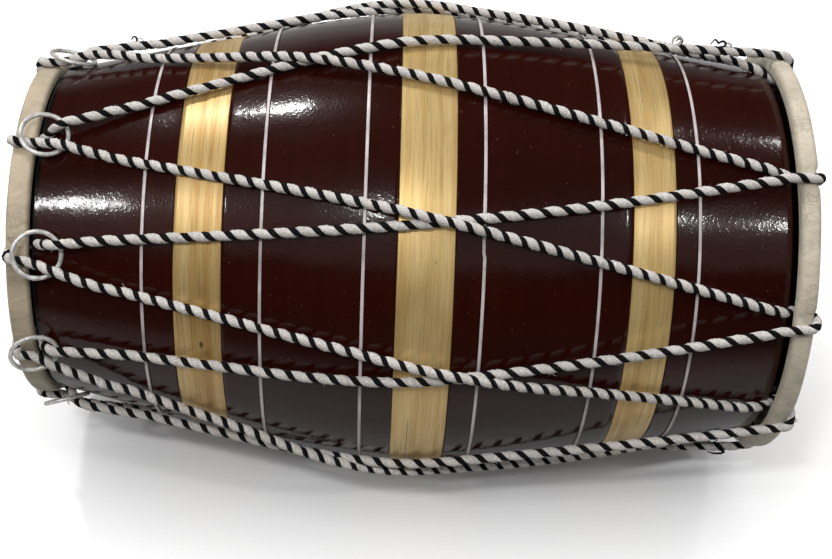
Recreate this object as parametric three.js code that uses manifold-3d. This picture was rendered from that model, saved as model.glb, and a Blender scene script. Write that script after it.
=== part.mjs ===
// Dholak: a two-headed barrel drum, laced with one rope that passes through a steel tuning ring at
// each loop of the treble end. Millimetres, +Z up. The drum lies on its side with its axis along X,
// treble head at -X and bass head at +X, and rests on two crossings of the lacing.
// Inside the drum group a place is given by x along the axis, a radius, and an angle in degrees that
// starts at the front (-Y) and grows downwards.

import * as THREE from 'three';
import { mergeVertices } from 'three/addons/utils/BufferGeometryUtils.js';
import Module from 'manifold-3d';

const wasm = await Module();
wasm.setup();

// Shell
const bellyRadius = 133.5;
const bodyHalfLength = 200.5;
const shellWall = 12;
const rimWall = 8;
const shoulderRound = 1.3;
const rimBevel = 2.2;
// Swell at even stations from the treble shoulder to the bass shoulder, as shares of the way from the
// shoulder's radius to the belly's.
const swellShares = [0, 0.298, 0.565, 0.841, 1, 0.874, 0.608, 0.277, 0];
const boreShares = [-0.82, -0.41, 0, 0.41, 0.82];

// Wood bands, flush in shallow turned recesses: where each starts and ends, as shares of the half length.
const bandEdgeShares = [[-0.622, -0.491], [-0.037, 0.104], [0.57, 0.688]];
const bandThickness = 1.3;

// Thin raised stripes: middle of each, as a share of the half length.
const stripeShares = [-0.704, -0.389, -0.124, 0.181, 0.487, 0.75];
const stripeWidth = 2.3;
const stripeThickness = 0.4;

// Heads: a collar is a hoop wrapped in skin.
const reveal = 2.8;
// How far the shell's shoulder stands inside the collar's outside.
const trebleStep = 3.3;
const bassStep = 10.3;
const skinThickness = 1;
const membraneProud = 2.5;
const skinSlot = 3;
const treble = { end: -1, collarRadius: 97.8, collarWidth: 12.9, collarDepth: 6.6, collarRound: 2.2 };
const bass = { end: 1, collarRadius: 118.3, collarWidth: 10.8, collarDepth: 9.6, collarRound: 3.6 };
const pasteRadius = 46;
const pasteThickness = 2.4;
const pasteBevel = 1.2;

// Lacing
const ropeDiameter = 5.6;
// Angles of the loops, and how far each strand strays sideways at mid-length, as shares of a turn.
const loopShares = {
  treble: [-0.3056, -0.1839, -0.0806, 0.0156, 0.1389, 0.2583, 0.3667, 0.4722, 0.5833],
  bass: [-0.2917, -0.1583, -0.0514, 0.0453, 0.1556, 0.2694, 0.3806, 0.4889, 0.5972],
};
const trebleStrandSpread = 8.2;
const bassStrandSpread = 5;
// The pair spreads wider once it is clear of the treble collar.
const downFlare = 6.7;
const upFlare = 2.9;
const flareLength = 33;
const downBowShares = [0.015, -0.0069, -0.0139, 0.0058, 0.0, 0.0, 0.0, 0.0, 0.0];
const upBowShares = [-0.0042, 0.0108, 0.0089, -0.0047, 0.0, 0.0, 0.0, 0.0, 0.0];
const strandStep = 34;
const strandSag = 0.35;
const crossingHalfLength = 75;
const crossingSlack = 0.5;
const settleLength = 22;
// Where the run over the body ends, as shares of the half length: over the bass collar, or under it.
const runEndShares = { over: 0.855, under: 0.93 };

// Knot that ties the lacing's end round its last strand, by the bass collar
const knotLength = 13;
const knotRadius = 5.4;
const knotWaistShare = 0.86;

// Tuning rings
const ringRadius = 12.5;
const ringWire = 2.2;
// How far a ring's near side is from the collar at most, how far each has slid, as a share of that,
// and how far past it the strands leave it room.
const ringReach = 18.5;
const ringReachShares = [1, 0.95, 1, 0.65, 0.85, 0.75, 0.9, 0.8, 0.95];
const ringClearRun = 10.8;
const ringTravel = 5;
// The strands reach the ring's height this far before it, in wire widths.
const ringLeadShare = 1.8;

// Clearances
const gap = 0.3;
const ropeGap = 0.5;
const buttGap = 0.4;
const cutOverrun = 2;
const weld = 0.0001;

const turns = 36;
const ropeSides = 6;
const cutterSides = 6;
const knotSides = 10;
const ringTurns = 14;
const ringSides = 5;

const ropeRadius = ropeDiameter / 2;
const wireRadius = ringWire / 2;
const stripeTop = gap + stripeThickness;
const lie = stripeTop + gap + ropeRadius;
const ringLie = gap + ringWire + gap + ropeRadius;
const ringFootX = ringReach - bodyHalfLength - reveal;
const crossingLift = ropeDiameter + gap + crossingSlack;

for (const head of [treble, bass]) {
  head.innerEdge = bodyHalfLength + reveal;
  head.face = head.innerEdge + head.collarWidth;
  head.collarInside = head.collarRadius - head.collarDepth;
  head.neckRadius = head.collarInside - ropeGap - ropeDiameter - ropeGap;
  head.membrane = head.face + membraneProud;
  head.rim = head.membrane - skinThickness - gap;
  head.flatRadius = head.neckRadius - rimBevel;
  head.shoulder = head.collarRadius - (head === treble ? trebleStep : bassStep);
}

// A place inside the drum group.
function place(x, radius, degrees) {
  const angle = THREE.MathUtils.degToRad(degrees);
  return new THREE.Vector3(x, -radius * Math.cos(angle), -radius * Math.sin(angle));
}

// Outside radius of the shell's body, a smooth curve through the stations.
function bodyRadius(x) {
  const last = swellShares.length - 1;
  const inside = THREE.MathUtils.clamp(x, -bodyHalfLength, bodyHalfLength);
  const along = THREE.MathUtils.inverseLerp(-bodyHalfLength, bodyHalfLength, inside) * last;
  const i = Math.min(Math.floor(along), last - 1);
  const station = (k) => {
    if (k < 0) return 2 * station(0) - station(1);
    if (k > last) return 2 * station(last) - station(last - 1);
    const { shoulder } = 2 * k < last ? treble : bass;
    return THREE.MathUtils.lerp(shoulder, bellyRadius, swellShares[k]);
  };
  const [a, b, c, d] = [station(i - 1), station(i), station(i + 1), station(i + 2)];
  const t = along - i;
  return b + 0.5 * t * (c - a + t * (2 * a - 5 * b + 4 * c - d + t * (3 * (b - c) + d - a)));
}

// Points of an arc in a turned profile, from one angle to another in degrees.
function arc(radius, along, round, from, to, steps) {
  const points = [];
  for (let i = 0; i <= steps; i += 1) {
    const angle = THREE.MathUtils.degToRad(from + ((to - from) * i) / steps);
    points.push([radius + round * Math.cos(angle), along + round * Math.sin(angle)]);
  }
  return points;
}

// Turns a closed profile of [radius, x] points about the drum's axis.
function turned(profile) {
  const points = profile.map(([radius, x]) => new THREE.Vector2(radius, x));
  if (THREE.ShapeUtils.area(points) < 0) points.reverse();
  points.push(points[0].clone());
  return new THREE.LatheGeometry(points, turns).rotateZ(-Math.PI / 2);
}

// Turns a profile that starts and ends on the axis.
function turnedFromAxis(profile) {
  const points = profile.map(([radius, x]) => new THREE.Vector2(radius, x));
  if (THREE.ShapeUtils.area(points) < 0) points.reverse();
  return new THREE.LatheGeometry(points, turns).rotateZ(-Math.PI / 2);
}

function toSolid(geometry) {
  const plain = geometry.clone();
  plain.deleteAttribute('normal');
  plain.deleteAttribute('uv');
  const merged = mergeVertices(plain, weld);
  const corners = merged.index.array;
  const triVerts = [];
  for (let i = 0; i < corners.length; i += 3) {
    const [a, b, c] = [corners[i], corners[i + 1], corners[i + 2]];
    if (a !== b && b !== c && c !== a) triVerts.push(a, b, c);
  }
  const vertProperties = new Float32Array(merged.attributes.position.array);
  return new wasm.Manifold(new wasm.Mesh({ numProp: 3, vertProperties, triVerts: new Uint32Array(triVerts) }));
}

function fromSolid(solid) {
  const mesh = solid.getMesh();
  const geometry = new THREE.BufferGeometry();
  geometry.setAttribute('position', new THREE.BufferAttribute(mesh.vertProperties, 3));
  geometry.setIndex(new THREE.BufferAttribute(mesh.triVerts, 1));
  return geometry;
}

function cutBy(geometry, tools) {
  let solid = toSolid(geometry);
  for (const tool of tools) solid = solid.subtract(toSolid(tool));
  return fromSolid(solid);
}

// A tube whose rings stand exactly at the given points.
function tube(points, radius, sides) {
  const path = new THREE.CatmullRomCurve3(points);
  path.getUtoTmapping = (share) => share;
  const section = new THREE.Shape();
  for (let i = 0; i < sides; i += 1) {
    const angle = (2 * Math.PI * i) / sides;
    const corner = [radius * Math.cos(angle), radius * Math.sin(angle)];
    if (i === 0) section.moveTo(...corner);
    else section.lineTo(...corner);
  }
  const steps = points.length - 1;
  return new THREE.ExtrudeGeometry(section, { steps, extrudePath: path, bevelEnabled: false });
}

// Shell: a turned barrel, open at both ends, with a narrower neck under each collar.
function shellGeometry(cuts) {
  const outside = [];
  const bodyStep = bodyHalfLength / 6;
  const edges = bandEdgeShares.map((pair) => pair.map((share) => share * bodyHalfLength));
  const recess = bandThickness + gap;
  const inBand = (x) => edges.some(([from, to]) => x > from - bodyStep / 3 && x < to + bodyStep / 3);
  for (let i = -6; i <= 6; i += 1) {
    if (!inBand(i * bodyStep)) outside.push([bodyRadius(i * bodyStep), i * bodyStep]);
  }
  for (const [from, to] of edges) {
    const middle = (from + to) / 2;
    outside.push([bodyRadius(from), from], [bodyRadius(from) - recess, from + weld]);
    outside.push([bodyRadius(middle) - recess, middle]);
    outside.push([bodyRadius(to) - recess, to - weld], [bodyRadius(to), to]);
  }
  outside.sort((a, b) => a[1] - b[1]);
  for (const point of outside) {
    for (const [from, to] of edges) {
      if (Math.abs(point[1] - from - weld) < weld / 2) point[1] = from;
      if (Math.abs(point[1] - to + weld) < weld / 2) point[1] = to;
    }
  }
  const neck = (head) => [
    ...arc(bodyRadius(head.end * bodyHalfLength) - shoulderRound, head.end * bodyHalfLength, shoulderRound,
      head.end * 30, head.end * 90, 2),
    [head.neckRadius, head.end * (bodyHalfLength + shoulderRound)],
    [head.neckRadius, head.end * (head.rim - rimBevel)],
    [head.flatRadius, head.end * head.rim],
    [head.neckRadius - rimWall, head.end * head.rim],
  ];
  const bore = boreShares.map((share) => [bodyRadius(share * bodyHalfLength) - shellWall, share * bodyHalfLength]);
  const profile = [...neck(treble).reverse(), ...outside, ...neck(bass), ...bore.reverse()];
  return cutBy(turned(profile), cuts);
}

function bandGeometry([fromShare, toShare]) {
  const from = fromShare * bodyHalfLength + gap;
  const to = toShare * bodyHalfLength - gap;
  const middle = (from + to) / 2;
  const outer = [from, middle, to].map((x) => [bodyRadius(x), x]);
  const inner = [to, middle, from].map((x) => [bodyRadius(x) - bandThickness, x]);
  return turned([...outer, ...inner]);
}

function stripeGeometry(share) {
  const middle = share * bodyHalfLength;
  const [from, to] = [middle - stripeWidth / 2, middle + stripeWidth / 2];
  return turned([
    [bodyRadius(from) + gap, from],
    [bodyRadius(to) + gap, to],
    [bodyRadius(to) + stripeTop, to],
    [bodyRadius(from) + stripeTop, from],
  ]);
}

// Skin: the flat membrane over the rim, and its wrap round the hoop, open along a slot inside.
function skinGeometry(head, cuts) {
  const round = head.collarRound;
  const pocketRound = round - skinThickness;
  const [inside, outside] = [head.collarInside + round, head.collarRadius - round];
  const [near, far] = [head.innerEdge + round, head.face - round];
  const under = head.membrane - skinThickness;
  const profile = [
    [0, head.membrane],
    [head.flatRadius, head.membrane],
    [inside, head.face],
    ...arc(outside, far, round, 90, 0, 2),
    ...arc(outside, near, round, 0, -90, 2),
    ...arc(inside, near, round, -90, -180, 2),
    [head.collarInside, head.face - skinSlot - skinThickness],
    [head.collarInside + skinThickness, head.face - skinSlot - skinThickness],
    ...arc(inside, near, pocketRound, -180, -90, 1),
    ...arc(outside, near, pocketRound, -90, 0, 1),
    ...arc(outside, far, pocketRound, 0, 90, 1),
    [inside, head.face - skinThickness],
    [head.flatRadius, under],
    [0, under],
  ];
  return cutBy(turnedFromAxis(profile.map(([radius, along]) => [radius, head.end * along])), cuts);
}

function hoopGeometry(head) {
  const inset = skinThickness + gap;
  const round = head.collarRound - inset;
  const [inside, outside] = [head.collarInside + inset + round, head.collarRadius - inset - round];
  const [near, far] = [head.innerEdge + inset + round, head.face - inset - round];
  const profile = [
    ...arc(outside, far, round, 90, 0, 1),
    ...arc(outside, near, round, 0, -90, 1),
    ...arc(inside, near, round, -90, -180, 1),
    ...arc(inside, far, round, 180, 90, 1),
  ];
  return turned(profile.map(([radius, along]) => [radius, head.end * along]));
}

// Tuning paste: a thin round cake on the inner face of the bass membrane.
function pasteGeometry() {
  const top = bass.membrane - skinThickness - gap;
  const bottom = top - pasteThickness;
  return turnedFromAxis([
    [0, top],
    [pasteRadius, top],
    [pasteRadius, top - pasteBevel],
    [pasteRadius - pasteThickness, bottom],
    [0, bottom],
  ]);
}

// Share of a strand's turn that is done at x: it turns faster where the drum is narrow.
const turnSteps = 40;
const turnTable = [0];
const turnStart = ringFootX + ringClearRun / 2;
for (let i = 1; i <= turnSteps; i += 1) {
  const x = THREE.MathUtils.lerp(turnStart, bodyHalfLength, (2 * i - 1) / (2 * turnSteps));
  turnTable.push(turnTable[i - 1] + 1 / bodyRadius(x) ** 2);
}
const shareOfTurn = (x) =>
  THREE.MathUtils.clamp(THREE.MathUtils.inverseLerp(turnStart, bodyHalfLength, x), 0, 1);
function turnShare(x) {
  const along = shareOfTurn(x) * turnSteps;
  const i = Math.min(Math.floor(along), turnSteps - 1);
  return THREE.MathUtils.lerp(turnTable[i], turnTable[i + 1], along - i) / turnTable[turnSteps];
}

// Half of a loop round a collar, from the middle of its face to its inner edge: [radius, along, share
// of the sideways step]. The over strand goes outside the collar, the under strand through it.
function halfLoop(head, over) {
  const round = head.collarRound;
  const bend = round + ropeGap + ropeRadius;
  const far = head.face - round;
  const middle = (head.collarInside + head.collarRadius) / 2;
  const corner = over ? head.collarRadius - round : head.collarInside + round;
  const turn = arc(corner, far, bend, 90, over ? 0 : 180, 4);
  const start = [middle + (over ? buttGap : -buttGap) / 2, head.face + ropeGap + ropeRadius];
  const points = [start, ...turn];
  const end = over ? 0.999 : -0.999;
  return points.map(([radius, along], i) => [radius, along, (end * i) / (points.length - 1)]);
}

const wrap = { treble, bass };
const spread = { treble: trebleStrandSpread, bass: bassStrandSpread };
const loops = loopShares.treble.length;

// Angle of a strand: it leaves each loop a little to one side of the loop's middle.
function loopAngle(which, index, side) {
  const count = Math.floor(index / loops);
  const degrees = 360 * (loopShares[which][index - count * loops] + count);
  const half = THREE.MathUtils.radToDeg(spread[which] / 2 / wrap[which].collarRadius);
  return degrees + side * half;
}

// How steeply a ring's plane rises from its near side to its far side, which clears the collar's rope.
function ringSlope(footX) {
  const footRadius = bodyRadius(footX) + gap + wireRadius;
  const headRadius = treble.collarRadius + ropeGap + ropeDiameter + ropeGap + wireRadius;
  return (headRadius - footRadius) / (2 * ringRadius);
}

// Where a ring's near side is.
const ringFoot = (loop) => ringReach * ringReachShares[loop % loops] - treble.innerEdge;

// How much higher than its foot a ring's wire is where a strand crosses it, beside the ring's middle,
// when the ring has slid all its way.
function ringRise(loop, angle) {
  const foot = ringFoot(loop);
  const degrees = angle(foot + ringTravel + wireRadius) - loopAngle('treble', loop, 0);
  const beside = THREE.MathUtils.degToRad(degrees) * bodyRadius(foot);
  const back = ringRadius - Math.sqrt(ringRadius ** 2 - beside ** 2);
  return back * ringSlope(foot) + beside ** 2 / (2 * bodyRadius(foot));
}

// A strand goes down from treble loop k to bass loop k + 1, or up from treble loop k + 1 to bass loop k.
function strand(k, down) {
  const from = down ? k : k + 1;
  const to = down ? k + 1 : k;
  const start = loopAngle('treble', from, down ? 1 : -1);
  const end = loopAngle('bass', to, down ? -1 : 1);
  const bow = 360 * (down ? downBowShares[k] : upBowShares[k]);
  const flare = THREE.MathUtils.radToDeg((down ? downFlare : -upFlare) / treble.collarRadius);
  const angle = (x) => {
    const done = turnShare(x);
    const flared = THREE.MathUtils.clamp((x + treble.innerEdge) / flareLength, 0, 1) * (1 - done);
    const straight = THREE.MathUtils.lerp(start, end, done);
    return straight + flare * flared + bow * Math.sin(Math.PI * shareOfTurn(x));
  };
  return { k, down, from, to, angle, rise: ringRise(from, angle) };
}

function crossingX(k) {
  const [lower, upper] = [strand(k, true), strand(k, false)];
  let [from, to] = [-bodyHalfLength, bodyHalfLength];
  for (let i = 0; i < 40; i += 1) {
    const middle = (from + to) / 2;
    if (lower.angle(middle) < upper.angle(middle)) from = middle;
    else to = middle;
  }
  return (from + to) / 2;
}

const ease = (share) => (1 - Math.cos(Math.PI * THREE.MathUtils.clamp(share, 0, 1))) / 2;

// A strand that goes over the bass collar leaves the shell on a tangent, straight to the collar's edge.
const taut = { x: bass.innerEdge, radius: bass.collarRadius + ropeGap + ropeRadius, from: 0, slope: 0 };
taut.slope = (bodyRadius(0) + lie + strandSag - taut.radius) / taut.x;
for (let i = 1; i < turnSteps; i += 1) {
  const x = (bodyHalfLength * i) / turnSteps;
  const slope = (bodyRadius(x) + lie + strandSag - taut.radius) / (taut.x - x);
  if (slope > taut.slope) Object.assign(taut, { slope, from: x });
}

// Radius of a strand's middle along its run over the body.
function strandRadius(line, crossing, x) {
  const ringEnd = ringFootX + ringClearRun + ringRadius / 4;
  const overRing = (ringLie - lie + line.rise) * ease((ringEnd + settleLength - x) / settleLength);
  const lying = bodyRadius(x) + lie + strandSag + overRing;
  const lower = x < taut.from ? lying : taut.radius + taut.slope * (taut.x - x);
  if (!line.down) return lower;
  const offset = Math.abs(x - crossing) / crossingHalfLength;
  return THREE.MathUtils.lerp(lying, lower + crossingLift, ease(1 - offset));
}

// Points of a strand's middle line, from the face of the treble collar to that of the bass collar.
function strandPoints(line) {
  const crossing = crossingX(line.k);
  const points = [];
  const addLoop = (which, loop, over, side) => {
    const head = wrap[which];
    const half = halfLoop(head, over).map(([radius, along, share]) =>
      place(head.end * along, radius, loopAngle(which, loop, side * Math.abs(share))));
    return half;
  };
  const trebleLoop = addLoop('treble', line.from, line.down, line.down ? 1 : -1);
  const bassLoop = addLoop('bass', line.to, !line.down, line.down ? -1 : 1).reverse();
  points.push(...trebleLoop);
  // Off the treble collar: over it and over the ring, or up from under it.
  const foot = ringFoot(line.from);
  const onRing = [bodyRadius(foot) + ringLie + strandSag + line.rise, foot - ringWire * ringLeadShare];
  const slot = [treble.collarInside, -bodyHalfLength - ropeRadius / 8];
  const start = line.down
    ? [[treble.collarRadius + ropeGap + ropeRadius, -treble.innerEdge], onRing]
    : [
      [treble.collarInside - ropeGap - ropeRadius + ropeRadius / 5, -treble.innerEdge - ropeRadius / 4],
      slot,
      [(slot[0] + onRing[0]) / 2, (slot[1] + onRing[1]) / 2],
      onRing,
    ];
  for (const [radius, x] of start) points.push(place(x, radius, line.angle(x)));
  // The run over the body, with one ring of points on the crossing.
  const runStart = ringFootX + ringClearRun + wireRadius;
  const runEnd = bodyHalfLength * (line.down ? runEndShares.under : runEndShares.over);
  const left = Math.round((crossing - runStart) / strandStep);
  const right = Math.round((runEnd - crossing) / strandStep);
  for (let i = 0; i <= left; i += 1) {
    const x = THREE.MathUtils.lerp(runStart, crossing, i / left);
    points.push(place(x, strandRadius(line, crossing, x), line.angle(x)));
  }
  for (let i = 1; i <= right; i += 1) {
    const x = THREE.MathUtils.lerp(crossing, runEnd, i / right);
    points.push(place(x, strandRadius(line, crossing, x), line.angle(x)));
  }
  // Onto the bass collar, or down under it.
  const finish = line.down
    ? [
      [(bodyRadius(bodyHalfLength) + lie + bass.collarInside) / 2 - ropeRadius / 5, bodyHalfLength - ropeRadius / 2],
      [bass.collarInside - ropeGap - ropeRadius + ropeRadius / 5, bass.innerEdge + ropeRadius / 4],
    ]
    : [[taut.radius, taut.x]];
  for (const [radius, x] of finish) points.push(place(x, radius, line.angle(x)));
  points.push(...bassLoop);
  return points;
}

// The part of a strand that dips under a collar, made fatter by the clearance, to cut its way.
function strandCutter(line) {
  const points = strandPoints(line);
  const dip = line.down ? points.slice(-10).reverse() : points.slice(0, 10);
  const first = dip[0].clone().add(dip[0].clone().sub(dip[1]).setLength(cutOverrun));
  return tube([first, ...dip], (ropeRadius + gap) / Math.cos(Math.PI / cutterSides), cutterSides);
}

// Knot: two turns of rope drawn tight, with a waist between them.
function knotGeometry() {
  const inner = (ropeRadius + gap) / Math.cos(Math.PI / knotSides);
  const half = knotLength / 2;
  const profile = [
    [inner, -half],
    [knotRadius * knotWaistShare, -half],
    [knotRadius, -half / 2],
    [knotRadius * knotWaistShare, 0],
    [knotRadius, half / 2],
    [knotRadius * knotWaistShare, half],
    [inner, half],
  ].map(([radius, y]) => new THREE.Vector2(radius, y));
  return new THREE.LatheGeometry([...profile, profile[0].clone()], knotSides);
}

// The knot sits half way along the strand's last straight stretch.
function knotPlace(line) {
  const points = strandPoints(line);
  const last = points.findIndex((point) => point.x > bodyHalfLength);
  const ends = [points[last - 1], points[last]];
  const along = ends[1].clone().sub(ends[0]).normalize();
  const turn = new THREE.Quaternion().setFromUnitVectors(new THREE.Vector3(0, 1, 0), along);
  return { centre: ends[0].add(ends[1]).multiplyScalar(0.5), turn };
}

// Tuning ring: flat round the pair of strands, its far side on the collar's rope, its near side
// under both strands.
function ringPlace(loop) {
  const degrees = 360 * loopShares.treble[loop];
  const footX = ringFoot(loop);
  const footRadius = bodyRadius(footX) + gap + wireRadius;
  const tilt = -Math.asin(ringSlope(footX));
  const foot = place(footX, footRadius, degrees);
  const up = place(0, 1, degrees);
  const along = new THREE.Vector3(Math.cos(tilt), 0, 0).addScaledVector(up, Math.sin(tilt));
  const side = new THREE.Vector3().crossVectors(up, along).normalize();
  const normal = new THREE.Vector3().crossVectors(along, side).normalize();
  const turn = new THREE.Matrix4().makeBasis(along, side, normal);
  return { centre: foot.addScaledVector(along, -ringRadius), turn };
}

const lacquer = new THREE.MeshStandardMaterial({ color: 0x35110f, roughness: 0.18, metalness: 0 });
const bandWood = new THREE.MeshStandardMaterial({ color: 0xb98f4c, roughness: 0.4, metalness: 0 });
const stripePaint = new THREE.MeshStandardMaterial({ color: 0xd8d2ce, roughness: 0.35, metalness: 0 });
const skin = new THREE.MeshStandardMaterial({ color: 0xcfc2a6, roughness: 0.6, metalness: 0 });
const hoopCane = new THREE.MeshStandardMaterial({ color: 0xa98855, roughness: 0.7, metalness: 0 });
const paste = new THREE.MeshStandardMaterial({ color: 0x1c1815, roughness: 0.8, metalness: 0 });
const rope = new THREE.MeshStandardMaterial({ color: 0xc9c2bb, roughness: 0.9, metalness: 0 });
const steel = new THREE.MeshStandardMaterial({ color: 0xc8c8c6, roughness: 0.25, metalness: 1 });

const drum = new THREE.Group();
function add(name, geometry, material) {
  const mesh = new THREE.Mesh(geometry, material);
  mesh.name = name;
  drum.add(mesh);
  return mesh;
}

const lines = [];
for (let k = 0; k < loops; k += 1) lines.push(strand(k, true), strand(k, false));
const trebleCuts = lines.filter((line) => !line.down).map(strandCutter);
const bassCuts = lines.filter((line) => line.down).map(strandCutter);

add('shell', shellGeometry([...trebleCuts, ...bassCuts]), lacquer);
['treble', 'middle', 'bass'].forEach((where, i) => {
  add(`${where}_band`, bandGeometry(bandEdgeShares[i]), bandWood);
});
stripeShares.forEach((share, i) => add(`stripe_${i + 1}`, stripeGeometry(share), stripePaint));
add('treble_skin', skinGeometry(treble, trebleCuts), skin);
add('bass_skin', skinGeometry(bass, bassCuts), skin);
add('treble_hoop', hoopGeometry(treble), hoopCane);
add('bass_hoop', hoopGeometry(bass), hoopCane);
add('bass_paste', pasteGeometry(), paste);
for (const line of lines) {
  const name = `lacing_${line.k + 1}_${line.down ? 'down' : 'up'}`;
  add(name, tube(strandPoints(line), ropeRadius, ropeSides), rope);
}
const knot = add('lacing_knot', knotGeometry(), rope);
const knotted = knotPlace(lines[lines.length - 1]);
knot.position.copy(knotted.centre);
knot.quaternion.copy(knotted.turn);
for (let loop = 0; loop < loops; loop += 1) {
  const ring = add(`tuning_ring_${loop + 1}`, new THREE.TorusGeometry(ringRadius, wireRadius, ringSides, ringTurns), steel);
  const { centre, turn } = ringPlace(loop);
  ring.position.copy(centre);
  ring.quaternion.setFromRotationMatrix(turn);
}

// The drum stands on the lowest crossings, with the origin under the middle of its outline.
const dholak = new THREE.Group();
dholak.add(drum);
dholak.updateMatrixWorld(true);
const outline = new THREE.Box3().setFromObject(dholak, true);
const middle = outline.getCenter(new THREE.Vector3());
drum.position.set(-middle.x, -middle.y, -outline.min.z);

export default dholak;
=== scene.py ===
"""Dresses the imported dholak: turned and lacquered shell, skins, twisted rope and steel rings."""

import math
import random

import bmesh
import bpy
import numpy as np
from mathutils import Matrix, Vector


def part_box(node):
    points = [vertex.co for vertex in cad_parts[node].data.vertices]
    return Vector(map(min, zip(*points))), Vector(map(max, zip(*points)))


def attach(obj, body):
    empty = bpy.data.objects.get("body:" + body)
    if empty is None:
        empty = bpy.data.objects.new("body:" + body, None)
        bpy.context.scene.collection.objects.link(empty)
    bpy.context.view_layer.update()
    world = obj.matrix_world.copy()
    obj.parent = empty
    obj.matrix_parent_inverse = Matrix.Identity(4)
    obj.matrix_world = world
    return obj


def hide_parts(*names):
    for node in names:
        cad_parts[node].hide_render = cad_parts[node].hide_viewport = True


bl_info = {
    "name": "Dholak",
    "version": (1, 0, 0),
    "blender": (4, 5, 0),
    "location": "View3D > Sidebar > Dholak",
    "description": "Dresses the packed dholak with its surfaces, rope and rings",
    "category": "Object",
}

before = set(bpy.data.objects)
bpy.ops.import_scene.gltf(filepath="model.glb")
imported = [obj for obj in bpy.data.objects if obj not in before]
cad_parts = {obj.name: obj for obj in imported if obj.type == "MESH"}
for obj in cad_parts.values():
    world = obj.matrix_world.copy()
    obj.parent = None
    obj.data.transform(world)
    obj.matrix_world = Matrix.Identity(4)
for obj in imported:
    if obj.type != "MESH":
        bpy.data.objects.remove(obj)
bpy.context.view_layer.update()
MM = 0.001
TURN = 2 * math.pi

# Shell, as the frame has it, but for the middle band's edges, which stand 0.6 and 1.2 mm further out
BELLY_RADIUS = 133.5 * MM
HALF_LENGTH = 200.5 * MM
SWELL_SHARES = (0, 0.298, 0.565, 0.841, 1, 0.874, 0.608, 0.277, 0)
SHELL_WALL = 12 * MM
RIM_WALL = 8 * MM
RIM_BEVEL = 2.2 * MM
SHOULDER_ROUND = 1.6 * MM
BAND_EDGE_SHARES = ((-0.622, -0.491), (-0.040, 0.110), (0.57, 0.688))
BAND_THICKNESS = 1.3 * MM
BAND_SOFTNESS = 0.3 * MM
RECESS_LIP = 0.25 * MM
BORE_SHARES = (0.82, 0.41, 0, -0.41, -0.82)
STRIPE_SHARES = (-0.704, -0.389, -0.124, 0.181, 0.487, 0.75)
STRIPE_WIDTH = 2.3 * MM
STRIPE_THICKNESS = 0.4 * MM
STRIPE_STEPS = 8
# The stripe whose ends lie beside each other, counted from 0: where in turns, for what share of a turn, and
# how far apart
LAPPED_STRIPE, LAP_TURN, LAP_SHARE, LAP_STEP = 3, -0.094, 0.22, 0.55 * MM
GAP = 0.3 * MM
BAND_INSET = 1.2 * GAP
ROPE_GAP = 0.5 * MM
REVEAL = 2.8 * MM
SKIN_THICKNESS = 1 * MM
HOOP_LEAST_ROUND = 0.4 * MM
MEMBRANE_PROUD = 2.5 * MM
SKIN_SLOT = 3 * MM
# How far the dried skin strays from even, at its face and at its side
FACE_UNEVENNESS = 0.28 * MM
SIDE_UNEVENNESS = 0.22 * MM

# Lacing, as the frame has it
ROPE_RADIUS = 2.8 * MM
LOOP_SHARES = {
    "treble": (-0.3056, -0.1839, -0.0806, 0.0156, 0.1389, 0.2583, 0.3667, 0.4722, 0.5833),
    "bass": (-0.2917, -0.1583, -0.0514, 0.0453, 0.1556, 0.2694, 0.3806, 0.4889, 0.5972),
}
STRAND_SPREAD = {"treble": 8.2 * MM, "bass": 5 * MM}
DOWN_BOW_SHARES = (0.015, -0.0069, -0.0139, 0.0058, 0, 0, 0, 0, 0)
UP_BOW_SHARES = (-0.0042, 0.0108, 0.0089, -0.0047, 0, 0, 0, 0, 0)
DOWN_FLARE = 6.7 * MM
UP_FLARE = 2.9 * MM
FLARE_LENGTH = 33 * MM
STRAND_SAG = 0.35 * MM
CROSSING_HALF_LENGTH = 75 * MM
CROSSING_LIFT_SHARE = 0.62
LOOP_TUCK = 2.4 * MM
TREBLE_DRAW_IN = 1.1 * MM
TREBLE_TUCK_SHARES = (1, 1, 2, 1.9, 1, 1.4, 1.2, 1, 1.3)
YARN_RADIUS = 1.25 * MM
FUZZ_PER_METRE = 330
SETTLE_LENGTH = 22 * MM
UNDER_END_SHARE = 0.93
LOOPS = 9

# Tuning rings, as the frame has them
RING_RADIUS = 12.5 * MM
WIRE_RADIUS = 1.1 * MM
# The drawn wire takes up the gaps that the frame keeps round it
WIRE_SHARE = 1.12
# A ring's weld: how far its bead stands out, how narrow it is, and how it moves from ring to ring
BEAD_HEIGHT, BEAD_NARROWNESS, WELD_STEP = 0.1, 60, 0.37
RING_REACH = 18.5 * MM
RING_REACH_SHARES = (1, 0.95, 1, 0.65, 0.85, 0.75, 0.9, 0.8, 0.95)
RING_CLEAR_RUN = 10.8 * MM
RING_TRAVEL = 5 * MM
RING_LEAD = 3.96 * MM

STRIPE_TOP = GAP + STRIPE_THICKNESS
LIE = STRIPE_TOP + GAP + ROPE_RADIUS
RING_LIE = GAP + 2 * WIRE_RADIUS + GAP + ROPE_RADIUS
RING_FOOT_X = RING_REACH - HALF_LENGTH - REVEAL


class Head:
    """One end of the drum: its collar, neck and membrane."""

    def __init__(self, end, collar_radius, collar_width, collar_depth, collar_round, step):
        self.end = end
        self.collar_radius = collar_radius
        self.collar_round = collar_round
        self.inner_edge = HALF_LENGTH + REVEAL
        self.face = self.inner_edge + collar_width
        self.collar_inside = collar_radius - collar_depth
        self.neck_radius = self.collar_inside - 2 * ROPE_GAP - 2 * ROPE_RADIUS
        self.membrane = self.face + MEMBRANE_PROUD
        self.rim = self.membrane - SKIN_THICKNESS - GAP
        self.flat_radius = self.neck_radius - RIM_BEVEL
        self.shoulder = collar_radius - step


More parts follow.
